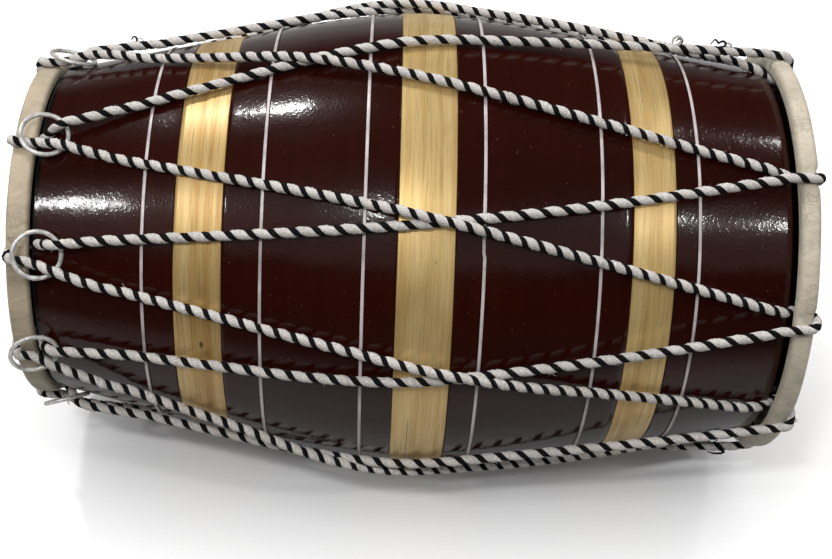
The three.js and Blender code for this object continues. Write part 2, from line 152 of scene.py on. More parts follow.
HEADS = {
    "treble": Head(-1, 97.8 * MM, 12.9 * MM, 6.6 * MM, 2.2 * MM, 3.3 * MM),
    "bass": Head(1, 118.3 * MM, 10.8 * MM, 9.6 * MM, 3.6 * MM, 10.3 * MM),
}

_paste_low, _paste_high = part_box("bass_paste")
# The drum's own origin: on its axis, half way between the shoulders.
CENTRE = Vector((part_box("shell")[0].x + HEADS["treble"].rim, (_paste_low.y + _paste_high.y) / 2,
                 (_paste_low.z + _paste_high.z) / 2))


# Shapes


def lerp(a, b, share):
    return a + (b - a) * share


def clamp(value):
    """Holds a share between 0 and 1."""
    return max(0.0, min(1.0, value))


def ease(share):
    """A share that sets off and arrives gently."""
    return (1 - math.cos(math.pi * clamp(share))) / 2


def unit(vector):
    return vector / np.linalg.norm(vector)


def place(x, radius, turn):
    """A point by its place along the axis, its radius, and its angle in turns from the front, downwards."""
    angle = TURN * turn
    return CENTRE + Vector((x, -radius * math.cos(angle), -radius * math.sin(angle)))


def body_radius(x):
    """Outside radius of the shell: a smooth curve through even stations."""
    last = len(SWELL_SHARES) - 1
    along = clamp((x / HALF_LENGTH + 1) / 2) * last
    i = min(int(along), last - 1)

    def station(k):
        if k < 0:
            return 2 * station(0) - station(1)
        if k > last:
            return 2 * station(last) - station(last - 1)
        head = HEADS["treble" if 2 * k < last else "bass"]
        return lerp(head.shoulder, BELLY_RADIUS, SWELL_SHARES[k])

    a, b, c, d = (station(k) for k in range(i - 1, i + 3))
    t = along - i
    return b + 0.5 * t * (c - a + t * (2 * a - 5 * b + 4 * c - d + t * (3 * (b - c) + d - a)))


def arc(radius, along, round_radius, start, end, steps):
    """Points of an arc in a turned profile, between two angles in degrees."""
    points = []
    for i in range(steps + 1):
        angle = math.radians(lerp(start, end, i / steps))
        points.append((radius + round_radius * math.cos(angle), along + round_radius * math.sin(angle)))
    return points


def finish_mesh(name, verts, faces, material, sharp_degrees=40, uvs=None):
    """Makes a shaded object from points in the row frame."""
    mesh = bpy.data.meshes.new(name)
    mesh.from_pydata([tuple(v) for v in verts], [], faces)
    if uvs is not None:
        layer = mesh.uv_layers.new(name="surface")
        layer.data.foreach_set("uv", np.asarray(uvs, np.float32).ravel())
    work = bmesh.new()
    work.from_mesh(mesh)
    bmesh.ops.recalc_face_normals(work, faces=work.faces)
    work.to_mesh(mesh)
    work.free()
    mesh.shade_smooth()
    mesh.set_sharp_from_angle(angle=math.radians(sharp_degrees))
    mesh.materials.append(material)
    piece = bpy.data.objects.new(name, mesh)
    bpy.context.scene.collection.objects.link(piece)
    return piece


def grid_faces(rows, columns, closed_rows=True, closed_columns=True):
    """Quads between points that are listed row after row."""
    faces = []
    for i in range(rows if closed_rows else rows - 1):
        k = (i + 1) % rows
        for j in range(columns if closed_columns else columns - 1):
            m = (j + 1) % columns
            faces.append((i * columns + j, i * columns + m, k * columns + m, k * columns + j))
    return faces


def turned(name, profile, material, segments, closed=True, shift=None, sharp_degrees=40):
    """Turns a profile of (radius, x) points about the drum's axis. An open one starts and ends on the axis.

    shift gives a point's radius and x from its number, radius, x and angle in turns.
    """
    verts = []
    for j in range(segments):
        turn = j / segments
        for i, (radius, x) in enumerate(profile):
            if shift:
                radius, x = shift(i, radius, x, turn)
            verts.append(place(x, radius, turn))
    faces = grid_faces(segments, len(profile), closed_columns=closed)
    return finish_mesh(name, verts, faces, material, sharp_degrees)


def shown(piece, body, slot, *nodes):
    """Hangs a finished piece on the frame."""
    if nodes:
        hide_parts(*nodes)
    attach(piece, body)
    return piece


# Materials


def srgb(red, green, blue):
    """A colour given as the eye sees it, 0 to 255."""
    values = []
    for channel in (red, green, blue):
        share = channel / 255
        values.append(share / 12.92 if share <= 0.04045 else ((share + 0.055) / 1.055) ** 2.4)
    return (*values, 1)


class Nodes:
    """Short calls that build a node tree."""

    def __init__(self, owner):
        owner.use_nodes = True
        self.tree = owner.node_tree
        self.tree.nodes.clear()

    def node(self, kind, inputs=(), **settings):
        made = self.tree.nodes.new("ShaderNode" + kind)
        for key, value in settings.items():
            setattr(made, key, value)
        for key, value in dict(inputs).items():
            if isinstance(value, bpy.types.NodeSocket):
                self.tree.links.new(value, made.inputs[key])
            else:
                made.inputs[key].default_value = value
        return made

    def spot(self, scale=(1, 1, 1), source="Object"):
        """Object or UV coordinates, multiplied by scale."""
        coordinates = self.node("TexCoord").outputs[source]
        return self.node("Mapping", {"Vector": coordinates, "Scale": scale}).outputs[0]

    def here(self):
        """The separate X, Y and Z of a point in the row frame."""
        return self.node("SeparateXYZ", {0: self.node("TexCoord").outputs["Object"]}).outputs

    def stretch(self, value, start, end, low=0.0, high=1.0, smooth=False):
        """Maps start to end onto low to high, and holds the value beyond them."""
        return self.node("MapRange", {"Value": value, "From Min": start, "From Max": end, "To Min": low,
                                      "To Max": high},
                         interpolation_type="SMOOTHSTEP" if smooth else "LINEAR").outputs[0]

    def noise(self, vector, scale, detail, roughness=0.5, distortion=0.0):
        return self.node("TexNoise", {"Vector": vector, "Scale": scale, "Detail": detail,
                                      "Roughness": roughness, "Distortion": distortion}).outputs["Fac"]

    def grain(self, scales, detail, roughness=0.5, distortion=0.0, source="Object"):
        """Noise with a scale of its own along each axis."""
        return self.noise(self.spot(scales, source), 1.0, detail, roughness, distortion)

    def ramp(self, value, *stops):
        """Colours or greys at positions from 0 to 1."""
        made = self.node("ValToRGB", {"Fac": value})
        elements = made.color_ramp.elements
        while len(elements) < len(stops):
            elements.new(0.5)
        for element, (position, colour) in zip(elements, stops):
            element.position = position
            element.color = colour if isinstance(colour, tuple) else (colour, colour, colour, 1)
        return made.outputs["Color"]

    def mix(self, share, first, second, blend="MIX"):
        """A colour from first to second, by share."""
        return self.node("Mix", {0: share, 6: first, 7: second}, data_type="RGBA",
                         blend_type=blend).outputs[2]

    def math(self, operation, *values):
        return self.node("Math", dict(enumerate(values)), operation=operation).outputs[0]

    def choose(self, share, first, second):
        """A number from first to second, by share."""
        return self.node("Mix", {0: share, 2: first, 3: second}, data_type="FLOAT").outputs[0]

    def mirrored(self, rays):
        """1 for what is seen in a gloss or through glass, and 0 for soft light."""
        return self.math("MAXIMUM", rays["Is Glossy Ray"], rays["Is Transmission Ray"])

    def bump(self, height, strength, distance, normal=None):
        inputs = {"Height": height, "Strength": strength, "Distance": distance}
        if normal:
            inputs["Normal"] = normal
        return self.node("Bump", inputs).outputs[0]


class Finish(Nodes):
    """A material of this drum."""

    def __init__(self, name):
        self.material = bpy.data.materials.new(name)
        super().__init__(self.material)
        self.output = self.tree.nodes.new("ShaderNodeOutputMaterial")

    def surface(self, **inputs):
        """The Principled shader; names have underscores for spaces."""
        named = {key.replace("_", " "): value for key, value in inputs.items()}
        shader = self.node("BsdfPrincipled", named)
        self.tree.links.new(shader.outputs[0], self.output.inputs["Surface"])
        return self.material


def lacquer_finish(settings):
    """Dark maroon lacquer, flowed on thick: orange peel breaks up its highlights."""
    f = Finish("maroon_lacquer")
    place_here = f.spot()
    clouds = f.grain((5, 14, 14), 4.0, 0.55)
    streaks = f.grain((160, 7, 7), 3.0, 0.6)
    tone = f.mix(f.math("MULTIPLY", streaks, 0.5), (*settings.lacquer_colour, 1),
                 (*settings.lacquer_shade, 1))
    tone = f.mix(clouds, tone, (*settings.lacquer_shade, 1))
    specks = f.ramp(f.noise(place_here, 640.0, 0.0), (0.835, 0.0), (0.86, 1.0))
    tone = f.mix(f.math("MULTIPLY", specks, 0.22), tone, srgb(150, 96, 88))
    # Painted shade: near black on the necks under the collars, from before the treble shoulder and past the
    # bass one.
    along = f.here()["X"]
    treble_end, bass_end = CENTRE.x - HALF_LENGTH, CENTRE.x + HALF_LENGTH
    treble_neck_shade = f.stretch(along, treble_end + 1.9 * MM, treble_end + 0.9 * MM)
    bass_neck_shade = f.stretch(along, bass_end + 0.6 * MM, bass_end + 1.2 * MM)
    shoulder = f.math("MAXIMUM", treble_neck_shade, bass_neck_shade)
    tone = f.mix(shoulder, tone, srgb(7, 4, 3))
    peel = f.noise(place_here, 95.0, 1.5, 0.45)
    ripple = f.grain((30, 60, 60), 1.0)
    pimples = f.ramp(f.noise(place_here, 520.0, 1.0), (0.5, 0.0), (0.72, 1.0))
    normal = f.bump(ripple, 0.3, 0.0009)
    normal = f.bump(peel, 0.28, 0.00022, normal)
    normal = f.bump(pimples, 0.2, 0.0001, normal)
    return f.surface(Base_Color=tone, Roughness=0.3, IOR=1.5, Specular_IOR_Level=0.05, Coat_Weight=1.0,
                     Coat_Roughness=0.11, Coat_IOR=1.36, Normal=normal, Coat_Normal=normal)


# Dark marks in the wood: place along the drum, turn from the front, and size. They are narrower along the drum.
WOOD_MARKS = (
    (-109.7 * MM, -0.0165, 3.3 * MM),
    (-118 * MM, 0.02, 0.8 * MM),
    (12 * MM, -0.09, 0.8 * MM),
)
MARK_SQUEEZE = 2.2
# A fine crack low on the middle band: its place along the drum, and the turns between which it fades in
CRACK_X = 1.6 * MM
CRACK_TURNS = (0.022, 0.035)


def band_wood_finish(settings):
    """Clear varnished light wood; the grain runs round the drum."""
    f = Finish("band_wood")
    warp = f.grain((12, 9, 9), 2.0)
    moved = f.node("VectorMath", {
        0: f.spot((1, 0.02, 0.02)),
        1: f.node("CombineXYZ", {"X": f.math("MULTIPLY", warp, 0.006)}).outputs[0],
    }, operation="ADD").outputs[0]
    broad = f.noise(moved, 150.0, 2.0, 0.5)
    fine = f.noise(moved, 1500.0, 4.0, 0.7)
    tone = f.ramp(broad, (0.32, srgb(198, 158, 94)), (0.47, (*settings.band_colour, 1)),
                  (0.62, srgb(234, 205, 146)), (0.75, srgb(206, 167, 101)))
    tone = f.mix(f.math("MULTIPLY", f.ramp(fine, (0.36, 1.0), (0.5, 0.0)), 0.5), tone, srgb(128, 84, 42))
    patches = f.grain((30, 22, 22), 3.0, 0.6)
    tone = f.mix(f.math("MULTIPLY", f.ramp(patches, (0.5, 0.0), (0.75, 1.0)), 0.45), tone, srgb(158, 112, 58))
    # The treble band was cut from a browner plank.
    along = f.stretch(f.here()["X"], CENTRE.x - HALF_LENGTH, CENTRE.x + HALF_LENGTH)
    tone = f.mix(0.2, tone, f.ramp(along, (0.35, srgb(150, 106, 52)), (0.4, srgb(246, 210, 136))))
    wobble = f.grain((40, 400, 400), 2.0)
    squeezed = f.node("VectorMath", {0: f.node("TexCoord").outputs["Object"], 1: (MARK_SQUEEZE, 1, 1)},
                      operation="MULTIPLY").outputs[0]
    for x, turn, size in WOOD_MARKS:
        at = place(x, body_radius(x), turn)
        at.x *= MARK_SQUEEZE
        gap = f.node("VectorMath", {0: squeezed, 1: at}, operation="DISTANCE").outputs["Value"]
        gap = f.math("ADD", gap, f.math("MULTIPLY", wobble, size * 0.8))
        tone = f.mix(f.stretch(gap, size * 0.7, size * 1.3, 0.85, 0.0), tone, srgb(46, 28, 16))
    split = f.here()
    wandering = f.math("ADD", split["X"], f.math("MULTIPLY", wobble, 0.0008))
    aside = f.math("ABSOLUTE", f.math("SUBTRACT", wandering, CENTRE.x + CRACK_X))
    line = f.stretch(aside, 0.14 * MM, 0.3 * MM, 1.0, 0.0)
    low = f.stretch(split["Z"], *(place(0, BELLY_RADIUS, turn).z for turn in CRACK_TURNS))
    tone = f.mix(f.math("MULTIPLY", f.math("MULTIPLY", line, low), 0.8), tone, srgb(52, 34, 18))
    return f.surface(Base_Color=tone, Metallic=0.58, Roughness=0.42, IOR=1.5, Coat_Weight=0.3,
                     Coat_Roughness=0.26, Coat_IOR=1.5, Normal=f.bump(fine, 0.1, 0.0002))


def stripe_finish():
    """Thin off-white line with a slight pink cast and rubbed edges."""
    f = Finish("stripe_paint")
    wear = f.grain((60, 60, 60), 3.0, 0.6)
    tone = f.ramp(wear, (0.3, srgb(150, 138, 136)), (0.6, srgb(200, 190, 188)))
    return f.surface(Base_Color=tone, Roughness=0.38, Coat_Weight=0.3, Coat_Roughness=0.2,
                     Normal=f.bump(wear, 0.2, 0.0002))


def stripe_edge_finish():
    """Dark colour on each stripe's edges and underside."""
    f = Finish("stripe_dark_edge")
    tone = f.ramp(f.grain((90, 90, 90), 2.0), (0.3, srgb(12, 4, 4)), (0.7, srgb(38, 12, 10)))
    return f.surface(Base_Color=tone, Roughness=0.3)


def skin_finish(name, colour):
    """Cream goat skin, dried tight: mottled, with fine creases."""
    f = Finish(name)
    place_here = f.spot()
    mottle = f.noise(place_here, 38.0, 5.0, 0.6, 0.3)
    tone = f.ramp(mottle, (0.32, (*(0.72 * c for c in colour), 1)), (0.5, (*colour, 1)),
                  (0.7, (*(min(1.0, 1.18 * c) for c in colour), 1)))
    pores = f.noise(place_here, 1400.0, 2.0, 0.6)
    tone = f.mix(f.math("MULTIPLY", f.ramp(pores, (0.55, 0.0), (0.75, 1.0)), 0.3), tone, srgb(150, 128, 98))
    creases = f.grain((55, 120, 120), 3.0, 0.6, distortion=1.4)
    folds = f.math("ABSOLUTE", f.math("SUBTRACT", creases, 0.5))
    lines = f.ramp(folds, (0.0, 1.0), (0.018, 0.0))
    places = f.ramp(f.noise(place_here, 22.0, 2.0), (0.5, 0.0), (0.62, 1.0))
    lines = f.math("MULTIPLY", lines, places)
    tone = f.mix(f.math("MULTIPLY", lines, 0.4), tone, srgb(128, 108, 78))
    normal = f.bump(creases, 0.7, 0.0013)
    normal = f.bump(f.math("SUBTRACT", 1.0, lines), 0.5, 0.0005, normal)
    normal = f.bump(pores, 0.3, 0.00012, normal)
    return f.surface(Base_Color=tone, Roughness=0.52, IOR=1.45, Subsurface_Weight=0.12,
                     Subsurface_Radius=(0.004, 0.0025, 0.0015), Subsurface_Scale=0.5,
                     Sheen_Weight=0.15, Normal=normal)


def yarn_finish(name, dark, light):
    """Cotton yarn: fibres run along the rope; the surface coordinates are metres along and around."""
    f = Finish(name)
    fibres = f.grain((500, 3800, 1), 3.0, 0.65, source="UV")
    soil = f.grain((60, 60, 60), 3.0, 0.6)
    tone = f.ramp(fibres, (0.3, dark), (0.62, light))
    tone = f.mix(f.math("MULTIPLY", f.ramp(soil, (0.45, 0.0), (0.75, 1.0)), 0.35), tone, dark)
    normal = f.bump(fibres, 0.7, 0.0005)
    return f.surface(Base_Color=tone, Roughness=0.88, IOR=1.4, Specular_IOR_Level=0.25,
                     Sheen_Weight=0.25 if light[0] > 0.2 else 0.0, Sheen_Roughness=0.5, Normal=normal)


def steel_finish():
    """Plain drawn steel wire, dulled, with a few brown flecks."""
    f = Finish("ring_steel")
    dull = f.noise(f.spot(), 260.0, 4.0, 0.6)
    tone = f.ramp(dull, (0.35, srgb(190, 187, 181)), (0.6, srgb(238, 237, 233)))
    rust = f.ramp(f.noise(f.spot(), 120.0, 4.0, 0.7), (0.62, 0.0), (0.74, 1.0))
    tone = f.mix(f.math("MULTIPLY", rust, 0.6), tone, srgb(112, 74, 48))
    return f.surface(Base_Color=tone, Metallic=0.55, Roughness=f.ramp(dull, (0.3, 0.3), (0.7, 0.5)),
                     Normal=f.bump(dull, 0.2, 0.0001))


def cane_finish():
    """Bare cane of the hoops, inside the skin."""
    f = Finish("hoop_cane")
    grain = f.grain((700, 20, 20), 3.0)
    return f.surface(Base_Color=f.ramp(grain, (0.3, srgb(140, 104, 62)), (0.7, srgb(192, 156, 102))),
                     Roughness=0.65, Normal=f.bump(grain, 0.3, 0.0003))


def paste_finish():
    """Dark tuning paste, cracked and matt."""
    f = Finish("tuning_paste")
    cracks = f.node("TexVoronoi", {"Vector": f.spot(), "Scale": 160.0}, feature="DISTANCE_TO_EDGE").outputs[0]
    lines = f.ramp(cracks, (0.0, 0.0), (0.08, 1.0))
    return f.surface(Base_Color=f.mix(lines, srgb(14, 12, 10), srgb(44, 39, 34)), Roughness=0.8,
                     Normal=f.bump(lines, 0.5, 0.0004))


# Shell


def shell_piece(settings):
    """The turned barrel with its necks, and a shallow recess under each wood band."""
    outside = []
    steps = settings.profile_steps
    edges = [[share * HALF_LENGTH for share in pair] for pair in BAND_EDGE_SHARES]
    recess = BAND_THICKNESS + GAP
    for i in range(steps + 1):
        x = lerp(-HALF_LENGTH, HALF_LENGTH, i / steps)
        if not any(low - MM < x < high + MM for low, high in edges):
            outside.append((body_radius(x), x))
    for low, high in edges:
        outside += [(body_radius(low) - RECESS_LIP, low), (body_radius(low), low - RECESS_LIP)]
        outside += [(body_radius(high) - RECESS_LIP, high), (body_radius(high), high + RECESS_LIP)]
        for i in range(9):
            x = lerp(low + RECESS_LIP / 10, high - RECESS_LIP / 10, i / 8)
            outside.append((body_radius(x) - recess, x))
    outside.sort(key=lambda point: point[1])

    def neck(head):
        shoulder = head.end * HALF_LENGTH
        points = arc(body_radius(shoulder) - SHOULDER_ROUND, shoulder, SHOULDER_ROUND,
                     head.end * 15, head.end * 90, 5)
        points += [
            (head.neck_radius, head.end * (HALF_LENGTH + SHOULDER_ROUND)),
            (head.neck_radius, head.end * (head.rim - RIM_BEVEL)),
            (head.flat_radius, head.end * head.rim),
            (head.neck_radius - RIM_WALL, head.end * head.rim),
        ]
        return points

    bore = [(body_radius(share * HALF_LENGTH) - SHELL_WALL, share * HALF_LENGTH) for share in BORE_SHARES]
    profile = neck(HEADS["treble"])[::-1] + outside + neck(HEADS["bass"]) + bore
    return turned("lacquered_shell", profile, lacquer_finish(settings), 256, sharp_degrees=50)


def band_piece(name, low_share, high_share, material):
    """One flush wood band with softened edges."""
    low, high = low_share * HALF_LENGTH + BAND_INSET, high_share * HALF_LENGTH - BAND_INSET
    outer = [(body_radius(low) - BAND_SOFTNESS, low)]
    for i in range(13):
        x = lerp(low + BAND_SOFTNESS, high - BAND_SOFTNESS, i / 12)
        outer.append((body_radius(x), x))
    outer.append((body_radius(high) - BAND_SOFTNESS, high))
    inner = [(body_radius(high) - BAND_THICKNESS, high), (body_radius(low) - BAND_THICKNESS, low)]
    return turned(name, outer + inner, material, 192)


def stripe_piece(name, share, materials, has_lap):
    """One thin raised line, rounded over, coloured dark along each side."""
    middle = share * HALF_LENGTH
    profile = []
    for i in range(STRIPE_STEPS + 1):
        angle = math.pi * i / STRIPE_STEPS
        x = middle - STRIPE_WIDTH / 2 * math.cos(angle)
        profile.append((body_radius(x) + STRIPE_TOP * math.sin(angle) ** 0.6, x))
    for side in (1, -1):
        x = middle + side * STRIPE_WIDTH / 2
        profile.append((body_radius(x) - GAP, x))

    def lapped(_, radius, x, turn):
        """Past the lap the line lies beside itself for a while, and wanders back."""
        beside = (turn - LAP_TURN) % 1 / LAP_SHARE
        return (radius, x + LAP_STEP * (1 - beside)) if beside < 1 else (radius, x)

    piece = turned(name, profile, materials[0], 384, shift=lapped if has_lap else None)
    piece.data.materials.append(materials[1])
    top = range(STRIPE_STEPS // 4, STRIPE_STEPS * 3 // 4)
    slots = [0 if i % len(profile) in top else 1 for i in range(len(piece.data.polygons))]
    piece.data.polygons.foreach_set("material_index", slots)
    return piece


# Heads


def head_piece(name, head, material):
    """The skin: membrane, the web, and the wrap round the hoop, drawn a little uneven."""
    rounding = head.collar_round
    pocket = rounding - SKIN_THICKNESS
    inside, outside = head.collar_inside + rounding, head.collar_radius - rounding
    near, far = head.inner_edge + rounding, head.face - rounding
    under = head.membrane - SKIN_THICKNESS
    flat = [(head.flat_radius * i / 12, head.membrane) for i in range(12)]
    web = []
    for i in range(7):
        share = i / 6
        web.append((lerp(head.flat_radius, inside, share), lerp(head.membrane, head.face, ease(share))))
    wrap = arc(outside, far, rounding, 90, 0, 8)
    wrap += [(head.collar_radius, lerp(far, near, i / 4)) for i in range(1, 4)]
    wrap += arc(outside, near, rounding, 0, -90, 8) + arc(inside, near, rounding, -90, -180, 6)
    slot = head.face - SKIN_SLOT - SKIN_THICKNESS
    back = [(head.collar_inside, slot), (head.collar_inside + SKIN_THICKNESS, slot)]
    back += arc(inside, near, pocket, -180, -90, 2) + arc(outside, near, pocket, -90, 0, 2)
    back += arc(outside, far, pocket, 0, 90, 2)
    back += [(inside, head.face - SKIN_THICKNESS), (head.flat_radius, under), (0, under)]
    profile = [(radius, head.end * x) for radius, x in flat + web + wrap + back]
    which = "treble" if head.end < 0 else "bass"
    first, last = len(flat), len(flat) + len(web) + len(wrap)
    rand = random.Random(name)
    waves = [(n, rand.uniform(0.2, 1) / n ** 0.7, rand.random()) for n in (3, 5, 8, 13, 21, 34)]

    def pressed(i, radius, x, turn):
        """The rope presses the wrap in at each loop, and the dried skin is never quite even."""
        if not first <= i < last:
            return radius, x
        outer = clamp((radius - head.collar_inside) / (head.collar_radius - head.collar_inside))
        facing = clamp((abs(x) - head.inner_edge) / (head.face - head.inner_edge))
        uneven = sum(size * math.sin(TURN * (n * turn + phase)) for n, size, phase in waves)
        inward = (FACE_UNEVENNESS * uneven + (TREBLE_DRAW_IN if head.end < 0 else 0)) * facing
        down = SIDE_UNEVENNESS * uneven * outer
        for loop in range(LOOPS):
            middle = loop_turn(which, loop, 0)
            off = (turn - middle + 0.5) % 1 - 0.5
            wide = (STRAND_SPREAD[which] / 2 + ROPE_RADIUS) / head.collar_radius / TURN
            inward += loop_tuck(which, loop) * facing * math.exp(-((off / wide) ** 4)) * (0.6 + 0.4 * outer)
            over = loop_turn(which, loop, -head.end) - middle
            down += LOOP_TUCK * 0.55 * outer * math.exp(-(((off - over) / wide * 1.5) ** 2))
        return radius - down, x - head.end * inward

    return turned(name, profile, material, 420, closed=False, shift=pressed, sharp_degrees=60)


def hoop_piece(name, head, material):
    """The cane hoop that the skin is wrapped round."""
    inset = SKIN_THICKNESS + GAP
    rounding = max(head.collar_round - inset, HOOP_LEAST_ROUND)
    inside, outside = head.collar_inside + inset + rounding, head.collar_radius - inset - rounding
    near, far = head.inner_edge + inset + rounding, head.face - inset - rounding
    profile = arc(outside, far, rounding, 90, 0, 3) + arc(outside, near, rounding, 0, -90, 3)
    profile += arc(inside, near, rounding, -90, -180, 3) + arc(inside, far, rounding, 180, 90, 3)
    return turned(name, [(radius, head.end * x) for radius, x in profile], material, 160)


# Lacing


TURN_STEPS = 40
TURN_START = RING_FOOT_X + RING_CLEAR_RUN / 2
TURN_TABLE = [0.0]
for _i in range(1, TURN_STEPS + 1):
    _x = lerp(TURN_START, HALF_LENGTH, (2 * _i - 1) / (2 * TURN_STEPS))
    TURN_TABLE.append(TURN_TABLE[-1] + 1 / body_radius(_x) ** 2)


def turned_share(x):
    """How much of a strand's turn is done at x: it turns faster where the drum is narrow."""
    along = clamp((x - TURN_START) / (HALF_LENGTH - TURN_START)) * TURN_STEPS
    i = min(int(along), TURN_STEPS - 1)
    return lerp(TURN_TABLE[i], TURN_TABLE[i + 1], along - i) / TURN_TABLE[TURN_STEPS]


def loop_turn(which, index, side):
    """Angle of a strand at a loop, in turns: a little to one side of the loop's middle."""
    count, loop = divmod(index, LOOPS)
    half = STRAND_SPREAD[which] / 2 / HEADS[which].collar_radius / TURN
    return LOOP_SHARES[which][loop] + count + side * half


def ring_foot(loop):
    """Where a ring's near side is along the axis."""
    return RING_REACH * RING_REACH_SHARES[loop % LOOPS] - HALF_LENGTH - REVEAL


def ring_slope(foot_x):
    """How steeply a ring's plane rises from its near side to its far side, over the collar's rope."""
    foot = body_radius(foot_x) + GAP + WIRE_RADIUS
    head = HEADS["treble"].collar_radius + 2 * ROPE_GAP + 2 * ROPE_RADIUS + WIRE_RADIUS
    return (head - foot) / (2 * RING_RADIUS)


class Strand:
    """One run of the rope: down from treble loop k to bass loop k + 1, or up from treble k + 1 to bass k."""

    def __init__(self, k, down):
        self.k, self.down = k, down
        self.treble_loop = k if down else k + 1
        self.bass_loop = k + 1 if down else k
        self.side = 1 if down else -1
        self.start = loop_turn("treble", self.treble_loop, self.side)
        self.end = loop_turn("bass", self.bass_loop, -self.side)
        self.bow = (DOWN_BOW_SHARES if down else UP_BOW_SHARES)[k]
        self.flare = (DOWN_FLARE if down else -UP_FLARE) / HEADS["treble"].collar_radius / TURN
        # A ring's wire is higher where a strand crosses it, beside the ring's middle.
        foot = ring_foot(self.treble_loop)
        turns = self.turn(foot + RING_TRAVEL + WIRE_RADIUS) - loop_turn("treble", self.treble_loop, 0)
        beside = TURN * turns * body_radius(foot)
        back = RING_RADIUS - math.sqrt(RING_RADIUS ** 2 - beside ** 2)
        self.rise = back * ring_slope(foot) + beside ** 2 / (2 * body_radius(foot))

    def turn(self, x):
        along = clamp((x - TURN_START) / (HALF_LENGTH - TURN_START))
        done = turned_share(x)
        flared = clamp((x + HEADS["treble"].inner_edge) / FLARE_LENGTH) * (1 - done)
        return lerp(self.start, self.end, done) + self.flare * flared + self.bow * math.sin(math.pi * along)


def crossing_x(k):
    """Where the two strands between loops k and k + 1 cross."""
    lower, upper = Strand(k, True), Strand(k, False)
    low, high = -HALF_LENGTH, HALF_LENGTH
    for _ in range(40):
        middle = (low + high) / 2
        if lower.turn(middle) < upper.turn(middle):
            low = middle
        else:
            high = middle
    return (low + high) / 2


class Taut:
    """The straight line on which a strand leaves the shell for the edge of the bass collar."""

    x = HEADS["bass"].inner_edge
    radius = HEADS["bass"].collar_radius + ROPE_GAP + ROPE_RADIUS
    start = 0.0
    slope = (body_radius(0) + LIE + STRAND_SAG - radius) / x


for _i in range(1, TURN_STEPS):
    _x = HALF_LENGTH * _i / TURN_STEPS
    _slope = (body_radius(_x) + LIE + STRAND_SAG - Taut.radius) / (Taut.x - _x)
    if _slope > Taut.slope:
        Taut.slope, Taut.start = _slope, _x


def strand_radius(strand, crossing, x):
    """Radius of a strand's middle along its run over the body."""
    ring_end = RING_FOOT_X + RING_CLEAR_RUN + RING_RADIUS / 4
    over_ring = (RING_LIE - LIE + strand.rise) * ease((ring_end + SETTLE_LENGTH - x) / SETTLE_LENGTH)
    lying = body_radius(x) + LIE + STRAND_SAG + over_ring
    lower = lying if x < Taut.start else Taut.radius + Taut.slope * (Taut.x - x)
    if not strand.down:
        return lower
    lift = CROSSING_LIFT_SHARE * 2 * ROPE_RADIUS
    offset = abs(x - crossing) / CROSSING_HALF_LENGTH
    return lerp(lying, lower + lift, ease(1 - offset))


def loop_tuck(which, loop):
    """How far the rope draws a loop into the skin."""
    if which == "bass":
        return LOOP_TUCK
    return LOOP_TUCK * TREBLE_TUCK_SHARES[loop % LOOPS]


def half_loop(which, over, loop, side):
    """Half of a loop round a collar, from the middle of its face to its inner edge."""
    head = HEADS[which]
    bend = head.collar_round + ROPE_GAP + ROPE_RADIUS
    corner = head.collar_radius - head.collar_round if over else head.collar_inside + head.collar_round
    path = arc(corner, head.face - head.collar_round, bend, 90, 0 if over else 180, 6)
    points = []
    for i, (radius, along) in enumerate(path):
        turn = loop_turn(which, loop, side * (i + 1) / (len(path) + 1))
        tuck = (loop_tuck(which, loop) + (TREBLE_DRAW_IN if head.end < 0 else 0)) * clamp(1.15 - i / len(path))
        sink = LOOP_TUCK * 0.5 * i / len(path) if over else 0
        points.append(place(head.end * (along - tuck), radius - sink, turn))
    return points


def strand_points(strand):
    """Points of a strand's middle line, from the face of the treble collar to that of the bass collar."""
    treble, bass = HEADS["treble"], HEADS["bass"]
    crossing = crossing_x(strand.k)
    points = half_loop("treble", strand.down, strand.treble_loop, strand.side)
    foot = ring_foot(strand.treble_loop)
    on_ring = (body_radius(foot) + RING_LIE + STRAND_SAG + strand.rise, foot - RING_LEAD)
    slot = (treble.collar_inside, -HALF_LENGTH - ROPE_RADIUS / 8)
    if strand.down:
        start = [(treble.collar_radius + ROPE_GAP + ROPE_RADIUS - LOOP_TUCK * 0.3, -treble.inner_edge)]
    else:
        start = [
            (treble.collar_inside - ROPE_GAP - ROPE_RADIUS * 0.8, -treble.inner_edge - ROPE_RADIUS / 4),
            slot,
            (lerp(slot[0], on_ring[0], 0.5), lerp(slot[1], on_ring[1], 0.5)),
        ]
    start.append(on_ring)
    points += [place(x, radius, strand.turn(x)) for radius, x in start]
    low = RING_FOOT_X + RING_CLEAR_RUN + WIRE_RADIUS
    high = HALF_LENGTH * (UNDER_END_SHARE if strand.down else 1)
    steps = 32
    for i in range(steps + 1):
        x = lerp(low, high, i / steps)
        points.append(place(x, strand_radius(strand, crossing, x), strand.turn(x)))
    if strand.down:
        finish = [
            ((body_radius(HALF_LENGTH) + LIE + bass.collar_inside) / 2 - ROPE_RADIUS / 5,
             HALF_LENGTH - ROPE_RADIUS / 2),
            (bass.collar_inside - ROPE_GAP - ROPE_RADIUS * 0.8, bass.inner_edge + ROPE_RADIUS / 4),
        ]
    else:
        finish = [(Taut.radius, Taut.x)]
    points += [place(x, radius, strand.turn(x)) for radius, x in finish]
    points += half_loop("bass", not strand.down, strand.bass_loop, -strand.side)[::-1]
    return points


def between(t, start, end, first, second):
    """The way from first, at start, to second, at end."""
    return (end - t) / (end - start) * first + (t - start) / (end - start) * second


